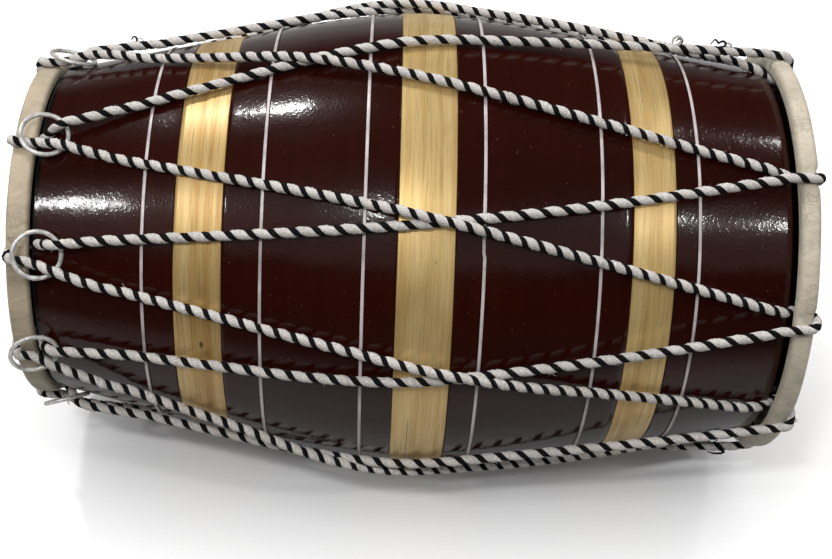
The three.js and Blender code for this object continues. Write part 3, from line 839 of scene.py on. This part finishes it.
def smooth_path(points, step, closed=False):
    """Even points along a smooth curve through the given ones."""
    p = np.array([tuple(q) for q in points])
    if closed:
        p = np.vstack([p[-1], p, p[:2]])
    else:
        p = np.vstack([2 * p[0] - p[1], p, 2 * p[-1] - p[-2]])
    knots = np.concatenate([[0], np.cumsum(np.linalg.norm(np.diff(p, axis=0), axis=1) ** 0.5)])
    fine = []
    for i in range(1, len(p) - 2):
        length = np.linalg.norm(p[i + 1] - p[i])
        count = max(2, int(length / (step / 3)))
        t = np.linspace(knots[i], knots[i + 1], count, endpoint=False)[:, None]
        a = [between(t, knots[k], knots[k + 1], p[k], p[k + 1]) for k in (i - 1, i, i + 1)]
        b = [between(t, knots[i + n - 1], knots[i + n + 1], a[n], a[n + 1]) for n in (0, 1)]
        fine.append(between(t, knots[i], knots[i + 1], *b))
    fine = np.vstack(fine + [p[-2][None]])
    lengths = np.concatenate([[0], np.cumsum(np.linalg.norm(np.diff(fine, axis=0), axis=1))])
    count = max(2, int(round(lengths[-1] / step)))
    wanted = np.linspace(0, lengths[-1], count + 1)
    even = np.stack([np.interp(wanted, lengths, fine[:, c]) for c in range(3)], axis=1)
    return even, wanted


def directions(path, hint, closed=False):
    """Unit directions along a path and two across it, which follow its bends without twisting."""
    tangents = np.gradient(path, axis=0)
    if closed:
        tangents[0] = tangents[-1] = path[1] - path[-2]
    tangents /= np.linalg.norm(tangents, axis=1)[:, None]
    normals = [unit(np.cross(tangents[0], hint))]
    for tangent in tangents[1:]:
        normals.append(unit(normals[-1] - tangent * np.dot(normals[-1], tangent)))
    return tangents, normals, np.cross(tangents, normals)


# The rope's section: points on each strand, and the white strand's share of the way round
WHITE_COLUMNS = 12
BLACK_COLUMNS = 5
WHITE_SHARE = 0.64
ROPE_JITTER = 0.1
# Length of one turn of the rope's lay: down and up runs were pulled unevenly tight
PITCH_DOWN = 9.6 * MM
PITCH_UP = 11.6 * MM
YARN_PITCH = 9 * MM
YARN_STEP = 0.7 * MM
YARN_COLUMNS = 8
YARN_FUZZ_PER_METRE = 900
# Loose fibres: the long ones' share, both lengths, and how thick they are at the root and at the elbow
LONG_FIBRES, LONG_FIBRE, SHORT_FIBRE = 0.12, 2.6 * MM, 1.35 * MM
ROOT_RADIUS, ELBOW_RADIUS = 0.1 * MM, 0.065 * MM


def rope_section():
    """Angles, in turns, and radius shares of the rope's section: a fat white strand and a thin black one."""
    section = []
    for i in range(WHITE_COLUMNS):
        t = 2 * i / WHITE_COLUMNS - 1
        crease = 0.035 * math.exp(-((t / 0.12) ** 2))
        section.append((WHITE_SHARE * i / WHITE_COLUMNS, 1.03 - 0.2 * abs(t) ** 3 - crease))
    for i in range(BLACK_COLUMNS):
        t = 2 * i / BLACK_COLUMNS - 1
        section.append((lerp(WHITE_SHARE, 1, i / BLACK_COLUMNS), 0.93 - 0.11 * abs(t) ** 2))
    return section


def add_fuzz(verts, faces, slots, uvs, roots, rand):
    """Loose fibres: thin bent spikes standing off the yarn at each root (point, outward, along, slot)."""
    for root, outward, along, slot in roots:
        lean = along * rand.uniform(-1.3, 1.3) + np.cross(outward, along) * rand.uniform(-0.9, 0.9)
        length = rand.uniform(0.5, 1.0) * (LONG_FIBRE if rand.random() < LONG_FIBRES else SHORT_FIBRE)
        first = unit(outward * rand.uniform(0.35, 0.9) + lean * 0.7)
        second = unit(first * 0.7 - outward * rand.uniform(0.1, 0.7) + lean * rand.uniform(0.2, 0.6))
        elbow = root + first * length * 0.55
        tip = elbow + second * length * 0.6
        side = unit(np.cross(first, along + outward * 0.3))
        other = np.cross(first, side)
        base = len(verts)
        for centre, thick in ((root - outward * 0.3 * MM, ROOT_RADIUS), (elbow, ELBOW_RADIUS)):
            for turn in (0, 1 / 3, 2 / 3):
                verts.append(centre + thick * (math.cos(TURN * turn) * side + math.sin(TURN * turn) * other))
        verts.append(tip)
        for j in range(3):
            m = (j + 1) % 3
            faces.append((base + j, base + m, base + 3 + m, base + 3 + j))
            faces.append((base + 3 + j, base + 3 + m, base + 6))
            slots += [slot, slot]
            uvs += [(root[0], j * MM)] * 7


def rope_mesh(name, path, lengths, radius, pitches, materials, fuzz):
    """Sweeps the twisted section along a closed path. The pitches are the lay's lengths at its points."""
    section = rope_section()
    columns = len(section)
    rand = random.Random(1)
    steps = np.diff(lengths, prepend=lengths[0])
    twist = np.cumsum(steps / pitches)
    # A whole number of turns closes the rope on itself.
    twist = twist * (round(twist[-1]) / twist[-1])
    tangents, normals, acrosses = directions(path, (0.31, 0.77, 0.55), closed=True)
    drift = math.atan2(np.dot(normals[-1], acrosses[0]), np.dot(normals[-1], normals[0])) / TURN
    count = len(path) - 1
    verts = []
    for i in range(count):
        lump = 1 + ROPE_JITTER * (rand.random() - 0.5)
        for turn, share in section:
            angle = TURN * (turn + twist[i] - drift * i / count)
            reach = radius * share * lump * (1 + 0.6 * ROPE_JITTER * (rand.random() - 0.5))
            verts.append(path[i] + reach * (math.cos(angle) * normals[i] + math.sin(angle) * acrosses[i]))
    faces, uvs = grid_faces(count, columns), []
    turns = [turn for turn, _ in section] + [1.0]
    for i in range(count):
        for low, high in zip(turns, turns[1:]):
            for row, turn in ((i, low), (i, high), (i + 1, high), (i + 1, low)):
                uvs.append((lengths[row], radius * TURN * (turn + twist[row])))
    strands = [0] * WHITE_COLUMNS + [1] * BLACK_COLUMNS
    slots = strands * count
    roots = []
    for _ in range(int(fuzz * lengths[-1])):
        i, j = rand.randrange(count), rand.randrange(columns)
        root = verts[i * columns + j]
        roots.append((root, unit(root - path[i]), tangents[i], strands[j]))
    add_fuzz(verts, faces, slots, uvs, roots, rand)
    piece = finish_mesh(name, verts, faces, materials[0], 80, uvs)
    piece.data.materials.append(materials[1])
    piece.data.polygons.foreach_set("material_index", slots)
    return piece


def lacing_route():
    """The rope's whole route, strand after strand, back to its start, and the pitch of its lay there."""
    points, pitches = [], []
    for k in range(0, 2 * LOOPS, 2):
        leg = strand_points(Strand(k % LOOPS, True))
        points += leg
        pitches += [PITCH_DOWN] * len(leg)
        leg = strand_points(Strand((k + 1) % LOOPS, False))
        points += leg[::-1]
        pitches += [PITCH_UP] * len(leg)
    return points, pitches


def lacing_piece(settings, materials):
    """The whole lacing as one rope."""
    points, pitches = lacing_route()
    path, lengths = smooth_path(points, settings.rope_step, closed=True)
    raw = np.array([tuple(p) for p in points])
    marks = np.concatenate([[0], np.cumsum(np.linalg.norm(np.diff(raw, axis=0), axis=1))])
    pitch = np.interp(lengths, marks / marks[-1] * lengths[-1], pitches)
    piece = rope_mesh("lacing", path, lengths, settings.rope_radius, pitch, materials, settings.fuzz)
    return piece, path


def yarn_mesh(name, points, radius, material, seed):
    """A loose single yarn through the points, thinner towards its end."""
    path, lengths = smooth_path(points, YARN_STEP)
    rand = random.Random(seed)
    tangents, normals, acrosses = directions(path, (0.2, 0.5, 0.8))
    verts, roots = [], []
    for i, point in enumerate(path):
        thick = radius * (1 - 0.55 * (i / (len(path) - 1)) ** 3) * rand.uniform(0.9, 1.1)
        for j in range(YARN_COLUMNS):
            angle = TURN * (j / YARN_COLUMNS + lengths[i] / YARN_PITCH)
            grow = 1 + 0.12 * math.sin(TURN * 3 * j / YARN_COLUMNS)
            outward = math.cos(angle) * normals[i] + math.sin(angle) * acrosses[i]
            verts.append(point + outward * thick * grow)
            if rand.random() < YARN_FUZZ_PER_METRE * YARN_STEP / YARN_COLUMNS:
                roots.append((verts[-1], outward, tangents[i], 0))
    faces, uvs = grid_faces(len(path), YARN_COLUMNS, closed_rows=False), []
    for start, end in zip(lengths, lengths[1:]):
        for j in range(YARN_COLUMNS):
            low, high = j * MM, (j + 1) * MM
            uvs += [(start, low), (start, high), (end, high), (end, low)]
    for i in (0, len(path) - 1):
        faces.append([i * YARN_COLUMNS + j for j in range(YARN_COLUMNS)])
        uvs += [(lengths[i], 0)] * YARN_COLUMNS
    add_fuzz(verts, faces, [], uvs, roots, rand)
    return finish_mesh(name, verts, faces, material, 80, uvs)


def on_path(path, i):
    """A point of the lacing, with its directions out from the drum and along the rope."""
    along = unit(path[i + 1] - path[i - 1])
    outward = path[i] - np.array(tuple(CENTRE))
    outward[0] = 0
    outward = unit(outward - along * np.dot(outward, along))
    return path[i], outward, along


KNOT_STEPS = 28
KNOT_WRAPS = 2.5
KNOT_LENGTH = 9.5 * MM
# Steps of a frayed end out, along and across, in mm
KNOT_TAIL = ((1.6, 1.5, 1.2), (2.6, 3.4, 2.6), (2.1, 5.6, 4.2), (0.2, 6.2, 6.0))


def knot_pieces(path, materials):
    """The knot: yarn wound round a strand, and the rope's two frayed ends beside it."""
    low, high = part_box("lacing_knot")
    middle = np.array(tuple((low + high) / 2))
    start, outward, along = on_path(path, int(np.argmin(np.linalg.norm(path - middle, axis=1))))
    across = np.cross(along, outward)
    reach = ROPE_RADIUS + YARN_RADIUS * 0.8
    wraps = []
    for which, material in enumerate(materials):
        points = []
        for step in range(KNOT_STEPS + 1):
            angle = TURN * (step / KNOT_STEPS * KNOT_WRAPS + which * 0.5)
            shift = (step / KNOT_STEPS - 0.5) * KNOT_LENGTH + which * 0.6 * MM
            around = math.cos(angle) * outward + math.sin(angle) * across
            points.append(start + along * shift + reach * around)
        tail = points[-1]
        for out, ahead, aside in KNOT_TAIL:
            aside = aside if which else -aside
            points.append(tail + (outward * out + along * ahead + across * aside * 0.6) * MM)
        wraps.append(yarn_mesh(f"knot_yarn_{which + 1}", points, YARN_RADIUS, material, 5 + which))
    return wraps


# Stray yarn ends: share of the lacing's length, steps out from the drum, along the strand and across it in mm,
# radius in mm, and whether it is black
LOOSE_ENDS = (
    (0.9918, ((0.8, -1.2, 0.2), (2.3, -0.6, 0.3), (2.6, 0.9, 0.4), (0.9, 1.9, 0.3)), 0.65, True),
    (0.9912, ((0.6, 1.5, 0.2), (1.5, 3.0, 0.4), (0.6, 4.6, 0.5)), 0.4, False),
    (0.5090, ((1.2, -2.6, 0.2), (3.4, -2.0, 0.5), (4.1, 0.4, 0.7), (2.6, 2.4, 0.6), (-0.6, 2.6, 0.4)),
     1.0, False),
    (0.5088, ((1.0, -1.7, -0.3), (2.4, -1.4, 0.0), (2.9, 0.5, 0.2), (1.4, 1.9, 0.2)), 0.6, True),
    (0.5060, ((0.6, -5.4, 0.0), (2.9, -3.6, 0.4), (1.6, -1.0, 0.6), (3.5, 1.4, 0.6), (0.6, 3.8, 0.4)),
     0.7, True),
    (0.5052, ((0.8, -2.2, -0.4), (2.0, 0.2, 0.2), (1.0, 2.4, 0.4)), 0.8, False),
    (0.2184, ((0.6, -1.5, 1.0), (1.7, -3.2, 1.9), (1.4, -5.4, 2.3)), 0.45, False),
    (0.7255, ((0.4, -4.5, 1.2), (1.1, -1.5, 2.6), (0.9, 2.0, 2.9), (0.2, 5.5, 1.4)), 0.7, True),
    (0.7180, ((0.4, -3.5, -1.2), (1.3, -0.5, -2.2), (0.6, 2.8, -1.6)), 0.5, True),
    (0.1672, ((0.3, -1.0, 0.5), (1.4, -0.2, 1.6), (1.2, 1.2, 2.4)), 0.4, False),
)


def loose_end(name, path, share, shape, radius, material, seed):
    """A stray yarn end; shape is as in LOOSE_ENDS."""
    start, outward, along = on_path(path, int(share * (len(path) - 1)))
    across = np.cross(along, outward)
    points = [start + outward * 0.5 * ROPE_RADIUS]
    for out, ahead, aside in shape:
        points.append(start + outward * (ROPE_RADIUS + out * MM) + along * ahead * MM + across * aside * MM)
    return yarn_mesh(name, points, radius, material, seed)


# Tuning rings


def ring_piece(loop, material):
    """One welded wire ring, where the frame has it."""
    turn = LOOP_SHARES["treble"][loop]
    foot_x = ring_foot(loop)
    tilt = -math.asin(ring_slope(foot_x))
    foot = place(foot_x, body_radius(foot_x) + GAP + WIRE_RADIUS, turn)
    outward = place(0, 1, turn) - CENTRE
    along = Vector((math.cos(tilt), 0, 0)) + outward * math.sin(tilt)
    side = outward.cross(along).normalized()
    normal = along.cross(side).normalized()
    centre = foot - along * RING_RADIUS
    turns, sides = 72, 14
    verts = []
    weld = (loop * WELD_STEP) % 1
    for i in range(turns):
        angle = TURN * i / turns
        out = along * math.cos(angle) + side * math.sin(angle)
        bead = 1 + BEAD_HEIGHT * math.exp(-(((i / turns - weld) * BEAD_NARROWNESS) ** 2))
        for j in range(sides):
            around = TURN * j / sides
            offset = out * math.cos(around) + normal * math.sin(around)
            verts.append(centre + out * RING_RADIUS + offset * WIRE_RADIUS * WIRE_SHARE * bead)
    return finish_mesh(f"steel_ring_{loop + 1}", verts, grid_faces(turns, sides), material, 80)


# Stage


# Lamps: name, width and height in metres, power in watts, and place
LAMPS = (
    ("front_left", (0.24, 0.11), 4.9, (-1.38, -0.93, 1.45)),
    ("front_middle", (0.16, 0.1), 5.4, (-0.36, -1.03, 1.42)),
    ("front_right", (0.11, 0.1), 3.4, (1.2, -0.97, 1.42)),
    ("back_left", (0.13, 0.14), 5.2, (-0.66, 0.46, 1.55)),
    ("back_right", (0.16, 0.14), 1.6, (1.0, 0.43, 1.5)),
)
LAMP_TARGET = (0, 0, 0.13)
# Where the floor ends for the lacquer, in front of the drum, and how far from the drum the painted light on it
# sets in
FLOOR_END = (-0.42, -0.24)
PAINTED_LIGHT_EDGE = (0.05, 0.15)


def stage_light(name, size, power, at):
    """A soft rectangular lamp."""
    lamp = bpy.data.lights.new(name, "AREA")
    lamp.shape = "RECTANGLE"
    lamp.size, lamp.size_y = size
    lamp.energy = power
    item = bpy.data.objects.new(name, lamp)
    bpy.context.scene.collection.objects.link(item)
    item.location = at
    item.rotation_mode = "QUATERNION"
    item.rotation_quaternion = (Vector(LAMP_TARGET) - Vector(at)).to_track_quat("-Z", "Y")


def stage_floor(settings):
    """A wide pale floor; seen straight on it is near white, away from the drum with painted light, and it keeps
    the shadow.
    """
    f = Finish("pale_floor")
    soft = f.grain((3, 3, 3), 2.0)
    tone = f.ramp(soft, (0.3, settings.floor_grey * 0.985), (0.7, settings.floor_grey))
    split = f.here()
    rays = f.node("LightPath").outputs
    # Only the camera sees the floor as bright as it is, and in front of the drum the lacquer sees it end.
    paper = f.stretch(split["Y"], *FLOOR_END, 0.08, 1.0)
    sight = f.choose(rays["Is Camera Ray"], f.math("MULTIPLY", paper, settings.floor_bounce), 1.0)
    tone = f.mix(1.0, tone, f.node("CombineColor", {0: sight, 1: sight, 2: sight}).outputs[0], "MULTIPLY")
    body = f.node("BsdfPrincipled", {"Base Color": tone, "Roughness": 0.9, "Specular IOR Level": 0.0})
    # Painted light: away from the drum the floor glows for the camera and in reflections; near it the shadow
    # stays darker.
    beyond = f.math("MAXIMUM", f.math("SUBTRACT", f.math("ABSOLUTE", split["X"]), HALF_LENGTH), 0.0)
    away = f.node("VectorMath", {0: f.node("CombineXYZ", {"X": beyond, "Y": split["Y"]}).outputs[0]},
                  operation="LENGTH").outputs["Value"]
    painted_light = f.math("MULTIPLY", f.math("MULTIPLY", sight, f.stretch(away, *PAINTED_LIGHT_EDGE)), settings.floor_painted_light)
    painted_light = f.math("MULTIPLY", painted_light, f.math("MAXIMUM", rays["Is Camera Ray"], f.mirrored(rays)))
    both = f.node("AddShader")
    f.tree.links.new(body.outputs[0], both.inputs[0])
    f.tree.links.new(f.node("Emission", {"Strength": painted_light}).outputs[0], both.inputs[1])
    f.tree.links.new(both.outputs[0], f.output.inputs["Surface"])
    size = settings.floor_size / 2
    corners = [(-size, -size, 0), (size, -size, 0), (size, size, 0), (-size, size, 0)]
    floor = finish_mesh("floor", corners, [(0, 1, 2, 3)], f.material)


def stage_world(settings):
    """A pale room for the camera; the lacquer sees it dark, but for a low backdrop and a dim band."""
    world = bpy.data.worlds.new("room")
    bpy.context.scene.world = world
    w = Nodes(world)
    split = w.node("SeparateXYZ", {0: w.node("TexCoord").outputs["Generated"]}).outputs
    behind = w.stretch(split["Y"], 0.2, 0.75, 0.0, settings.room_back, smooth=True)
    low = w.stretch(split["Z"], 0.12, 0.5, 1.0, 0.0, smooth=True)
    left = w.stretch(split["X"], 0.05, 0.4, 1.0, 0.3, smooth=True)
    low = w.math("MULTIPLY", low, left)
    depth = w.math("MULTIPLY_ADD", behind, low, settings.room_front)
    # A dim band high on the photographer's side, and darkness above it.
    rise = w.stretch(split["Z"], 0.3, 0.42, smooth=True)
    fall = w.stretch(split["Z"], 0.8, 0.72, smooth=True)
    front = w.stretch(split["Y"], -0.2, -0.4, smooth=True)
    band = w.math("MULTIPLY", w.math("MULTIPLY", rise, fall), front)
    depth = w.math("MULTIPLY_ADD", band, settings.room_band, depth)
    # Soft light comes from above.
    height = w.math("MAXIMUM", split["Z"], 0.0)
    height = w.math("MULTIPLY", height, height)
    above = w.math("MULTIPLY_ADD", height, settings.room_fill, settings.room_fill * 0.04)
    rays = w.node("LightPath").outputs
    strength = w.choose(rays["Is Camera Ray"], w.choose(w.mirrored(rays), above, depth), 1.0)
    background = w.node("Background", {"Color": (1, 1, 1, 1), "Strength": strength})
    w.tree.links.new(background.outputs[0], w.node("OutputWorld").inputs[0])


def stage_camera(settings):
    """The photograph's view: in front of the drum and above it, a little towards the treble end."""
    elevation = settings.elevation
    toward = Vector((0, -math.cos(elevation), math.sin(elevation)))
    below = Vector((0, -math.sin(elevation), -math.cos(elevation)))
    along = Vector((1, 0, 0))
    data = bpy.data.cameras.new("camera")
    data.sensor_fit = "HORIZONTAL"
    data.sensor_width = 36
    data.lens = settings.lens
    data.shift_x, data.shift_y = settings.shift
    camera = bpy.data.objects.new("camera", data)
    bpy.context.scene.collection.objects.link(camera)
    offset = settings.camera_offset
    camera.location = CENTRE + along * offset[0] + toward * offset[1] + below * offset[2]
    roll, yaw = settings.roll, settings.yaw
    ahead = (along * math.cos(roll) * math.sin(yaw) - toward * math.cos(yaw)).normalized()
    right = (along * math.cos(roll) * math.cos(yaw) + toward * math.sin(yaw)
             - below * math.sin(roll)).normalized()
    down = ahead.cross(right).normalized()
    right = down.cross(ahead).normalized()
    camera.rotation_mode = "QUATERNION"
    camera.rotation_quaternion = Matrix((right, -down, -ahead)).transposed().to_quaternion()
    bpy.context.scene.camera = camera


# Settings


class DholakShell(bpy.types.PropertyGroup):
    lacquer_colour: bpy.props.FloatVectorProperty(
        name="Lacquer", description="Colour of the lacquer where it is thin", subtype="COLOR",
        default=(0.039, 0.0054, 0.0018), min=0, max=1)
    lacquer_shade: bpy.props.FloatVectorProperty(
        name="Lacquer shade", description="Colour of the lacquer where it is thick", subtype="COLOR",
        default=(0.0085, 0.0005, 0.0004), min=0, max=1)
    band_colour: bpy.props.FloatVectorProperty(
        name="Band wood", description="Main colour of the wood bands", subtype="COLOR",
        default=(0.69, 0.485, 0.195), min=0, max=1)
    profile_steps: bpy.props.IntProperty(
        name="Profile steps", description="Rings of points along the shell", default=120, min=24)


class DholakHeads(bpy.types.PropertyGroup):
    # The treble skin is darker than the bass one partly as painted shade; its yellower tone is its own.
    treble_colour_and_shade: bpy.props.FloatVectorProperty(
        name="Treble skin", description="Main colour of the smaller head's skin", subtype="COLOR",
        default=(0.43, 0.355, 0.25), min=0, max=1)
    bass_colour: bpy.props.FloatVectorProperty(
        name="Bass skin", description="Main colour of the larger head's skin", subtype="COLOR",
        default=(0.535, 0.475, 0.37), min=0, max=1)


class DholakLacing(bpy.types.PropertyGroup):
    rope_radius: bpy.props.FloatProperty(
        name="Rope radius", description="Half the rope's thickness", default=ROPE_RADIUS, min=0.001,
        unit="LENGTH")
    rope_step: bpy.props.FloatProperty(
        name="Rope step", description="Distance between rings of points", default=1.1 * MM, min=0.0004,
        unit="LENGTH")
    fuzz: bpy.props.IntProperty(
        name="Fuzz", description="Loose fibres on each metre of rope", default=FUZZ_PER_METRE, min=0)


class DholakStage(bpy.types.PropertyGroup):
    elevation: bpy.props.FloatProperty(
        name="Elevation", description="Height of the view above the horizon", default=math.radians(37),
        subtype="ANGLE")
    roll: bpy.props.FloatProperty(
        name="Roll", description="Tilt of the view", default=math.radians(1.844), subtype="ANGLE")
    yaw: bpy.props.FloatProperty(
        name="Yaw", description="Turn of the view to the side", default=math.radians(1.349), subtype="ANGLE")
    lens: bpy.props.FloatProperty(
        name="Lens", description="Focal length in millimetres", default=60.29, min=10)
    shift: bpy.props.FloatVectorProperty(
        name="Shift", description="Shift of the lens", size=2, default=(0.0016, -0.0707))
    camera_offset: bpy.props.FloatVectorProperty(
        name="Camera place", description="Along the drum, out from it, and below the line of sight",
        size=3, default=(-16.07 * MM, 839.07 * MM, -10.17 * MM), subtype="TRANSLATION")
    floor_size: bpy.props.FloatProperty(
        name="Floor size", description="Side of the square floor", default=14, min=1, unit="LENGTH")
    floor_grey: bpy.props.FloatProperty(
        name="Floor grey", description="How pale the floor is", default=0.97, min=0, max=1)
    # Strength of the light painted on the floor away from the drum
    floor_painted_light: bpy.props.FloatProperty(
        name="Floor glow", description="Added where the floor is seen, away from the drum", default=0.2,
        min=0, max=1)
    floor_bounce: bpy.props.FloatProperty(
        name="Floor bounce", description="Share of its light that the floor passes on", default=0.36, min=0,
        max=1)
    room_front: bpy.props.FloatProperty(
        name="Room front", description="Reflected light from the dark sides of the room", default=0.02, min=0)
    room_back: bpy.props.FloatProperty(
        name="Room back", description="Reflected light from low behind the drum", default=0.3, min=0)
    room_fill: bpy.props.FloatProperty(
        name="Room fill", description="Soft light from above", default=1.5, min=0)
    room_band: bpy.props.FloatProperty(
        name="Room band", description="Reflected light from high on the photographer's side", default=0.33,
        min=0)
    lamp_power: bpy.props.FloatProperty(
        name="Lamps", description="Share of the lamps' usual power", default=1.22, min=0)


# Operators


class DHOLAK_OT_stage(bpy.types.Operator):
    """Makes the camera, floor, room and lamps"""

    bl_idname = "dholak.stage"
    bl_label = "Stage"

    def execute(self, context):
        settings = context.scene.dholak_stage
        context.scene.view_settings.view_transform = "Standard"
        stage_camera(settings)
        stage_floor(settings)
        stage_world(settings)
        for name, size, power, at in LAMPS:
            stage_light(name, size, power * settings.lamp_power, at)
        return {"FINISHED"}


class DHOLAK_OT_shell(bpy.types.Operator):
    """Makes the lacquered shell, the wood bands and the thin stripes"""

    bl_idname = "dholak.shell"
    bl_label = "Shell"

    def execute(self, context):
        settings = context.scene.dholak_shell
        shown(shell_piece(settings), "drum", "shell_lacquer", "shell")
        wood = band_wood_finish(settings)
        for where, (low, high) in zip(("treble", "middle", "bass"), BAND_EDGE_SHARES):
            piece = band_piece(f"{where}_wood_band", low, high, wood)
            shown(piece, "drum", "band_wood", f"{where}_band")
        paint = (stripe_finish(), stripe_edge_finish())
        for i, share in enumerate(STRIPE_SHARES):
            piece = stripe_piece(f"thin_stripe_{i + 1}", share, paint, i == LAPPED_STRIPE)
            shown(piece, "drum", "stripe_paint", f"stripe_{i + 1}")
        return {"FINISHED"}


class DHOLAK_OT_heads(bpy.types.Operator):
    """Makes the two skins and their hoops, and gives the paste its finish"""

    bl_idname = "dholak.heads"
    bl_label = "Heads"

    def execute(self, context):
        settings = context.scene.dholak_heads
        for where, colour in (("treble", settings.treble_colour_and_shade), ("bass", settings.bass_colour)):
            piece = head_piece(f"{where}_goat_skin", HEADS[where], skin_finish(f"{where}_skin", colour))
            shown(piece, "drum", "head_skin", f"{where}_skin")
        cane = cane_finish()
        for where in ("treble", "bass"):
            piece = hoop_piece(f"{where}_cane_hoop", HEADS[where], cane)
            shown(piece, "drum", "hoop_cane", f"{where}_hoop")
        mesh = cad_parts["bass_paste"].data
        mesh.materials.clear()
        mesh.materials.append(paste_finish())
        return {"FINISHED"}


class DHOLAK_OT_lacing(bpy.types.Operator):
    """Makes the rope that laces the two heads together"""

    bl_idname = "dholak.lacing"
    bl_label = "Lacing"

    def execute(self, context):
        settings = context.scene.dholak_lacing
        white = yarn_finish("white_yarn", srgb(128, 121, 116), srgb(234, 229, 224))
        black = yarn_finish("black_yarn", srgb(3, 3, 3), srgb(22, 20, 20))
        runs = [f"lacing_{k + 1}_{way}" for k in range(LOOPS) for way in ("down", "up")]
        piece, path = lacing_piece(settings, (white, black))
        shown(piece, "drum", "lacing_rope", *runs)
        wraps = knot_pieces(path, (white, black))
        shown(wraps[0], "drum", "lacing_rope", "lacing_knot")
        shown(wraps[1], "drum", "lacing_rope")
        for i, (share, shape, radius, dark) in enumerate(LOOSE_ENDS):
            end = loose_end(f"loose_yarn_{i + 1}", path, share, shape, radius * MM, black if dark else white, i)
            shown(end, "drum", "lacing_rope")
        return {"FINISHED"}


class DHOLAK_OT_rings(bpy.types.Operator):
    """Makes the steel tuning rings"""

    bl_idname = "dholak.rings"
    bl_label = "Tuning rings"

    def execute(self, context):
        steel = steel_finish()
        for loop in range(LOOPS):
            node = f"tuning_ring_{loop + 1}"
            shown(ring_piece(loop, steel), node, "ring_steel", node)
        return {"FINISHED"}


class DHOLAK_PT_panel(bpy.types.Panel):
    """Lists the drum's settings and the steps that make it"""

    bl_idname = "DHOLAK_PT_panel"
    bl_label = "Dholak"
    bl_space_type = "VIEW_3D"
    bl_region_type = "UI"
    bl_category = "Dholak"

    def draw(self, context):
        for operator, group in STEPS:
            box = self.layout.box()
            box.operator(operator.bl_idname)
            if group:
                settings = getattr(context.scene, group)
                for name in type(settings).__annotations__:
                    box.prop(settings, name)


STEPS = (
    (DHOLAK_OT_stage, "dholak_stage"),
    (DHOLAK_OT_shell, "dholak_shell"),
    (DHOLAK_OT_heads, "dholak_heads"),
    (DHOLAK_OT_lacing, "dholak_lacing"),
    (DHOLAK_OT_rings, ""),
)
GROUPS = {"dholak_shell": DholakShell, "dholak_heads": DholakHeads, "dholak_lacing": DholakLacing,
          "dholak_stage": DholakStage}
CLASSES = (*GROUPS.values(), *(operator for operator, _ in STEPS), DHOLAK_PT_panel)


def register():
    for item in CLASSES:
        bpy.utils.register_class(item)
    for name, group in GROUPS.items():
        setattr(bpy.types.Scene, name, bpy.props.PointerProperty(type=group))


def unregister():
    for name in GROUPS:
        delattr(bpy.types.Scene, name)
    for item in reversed(CLASSES):
        bpy.utils.unregister_class(item)


def main():
    """Makes everything in order."""
    register()
    bpy.ops.dholak.stage()
    bpy.ops.dholak.shell()
    bpy.ops.dholak.heads()
    bpy.ops.dholak.lacing()
    bpy.ops.dholak.rings()


if __name__ == "__main__":
    main()
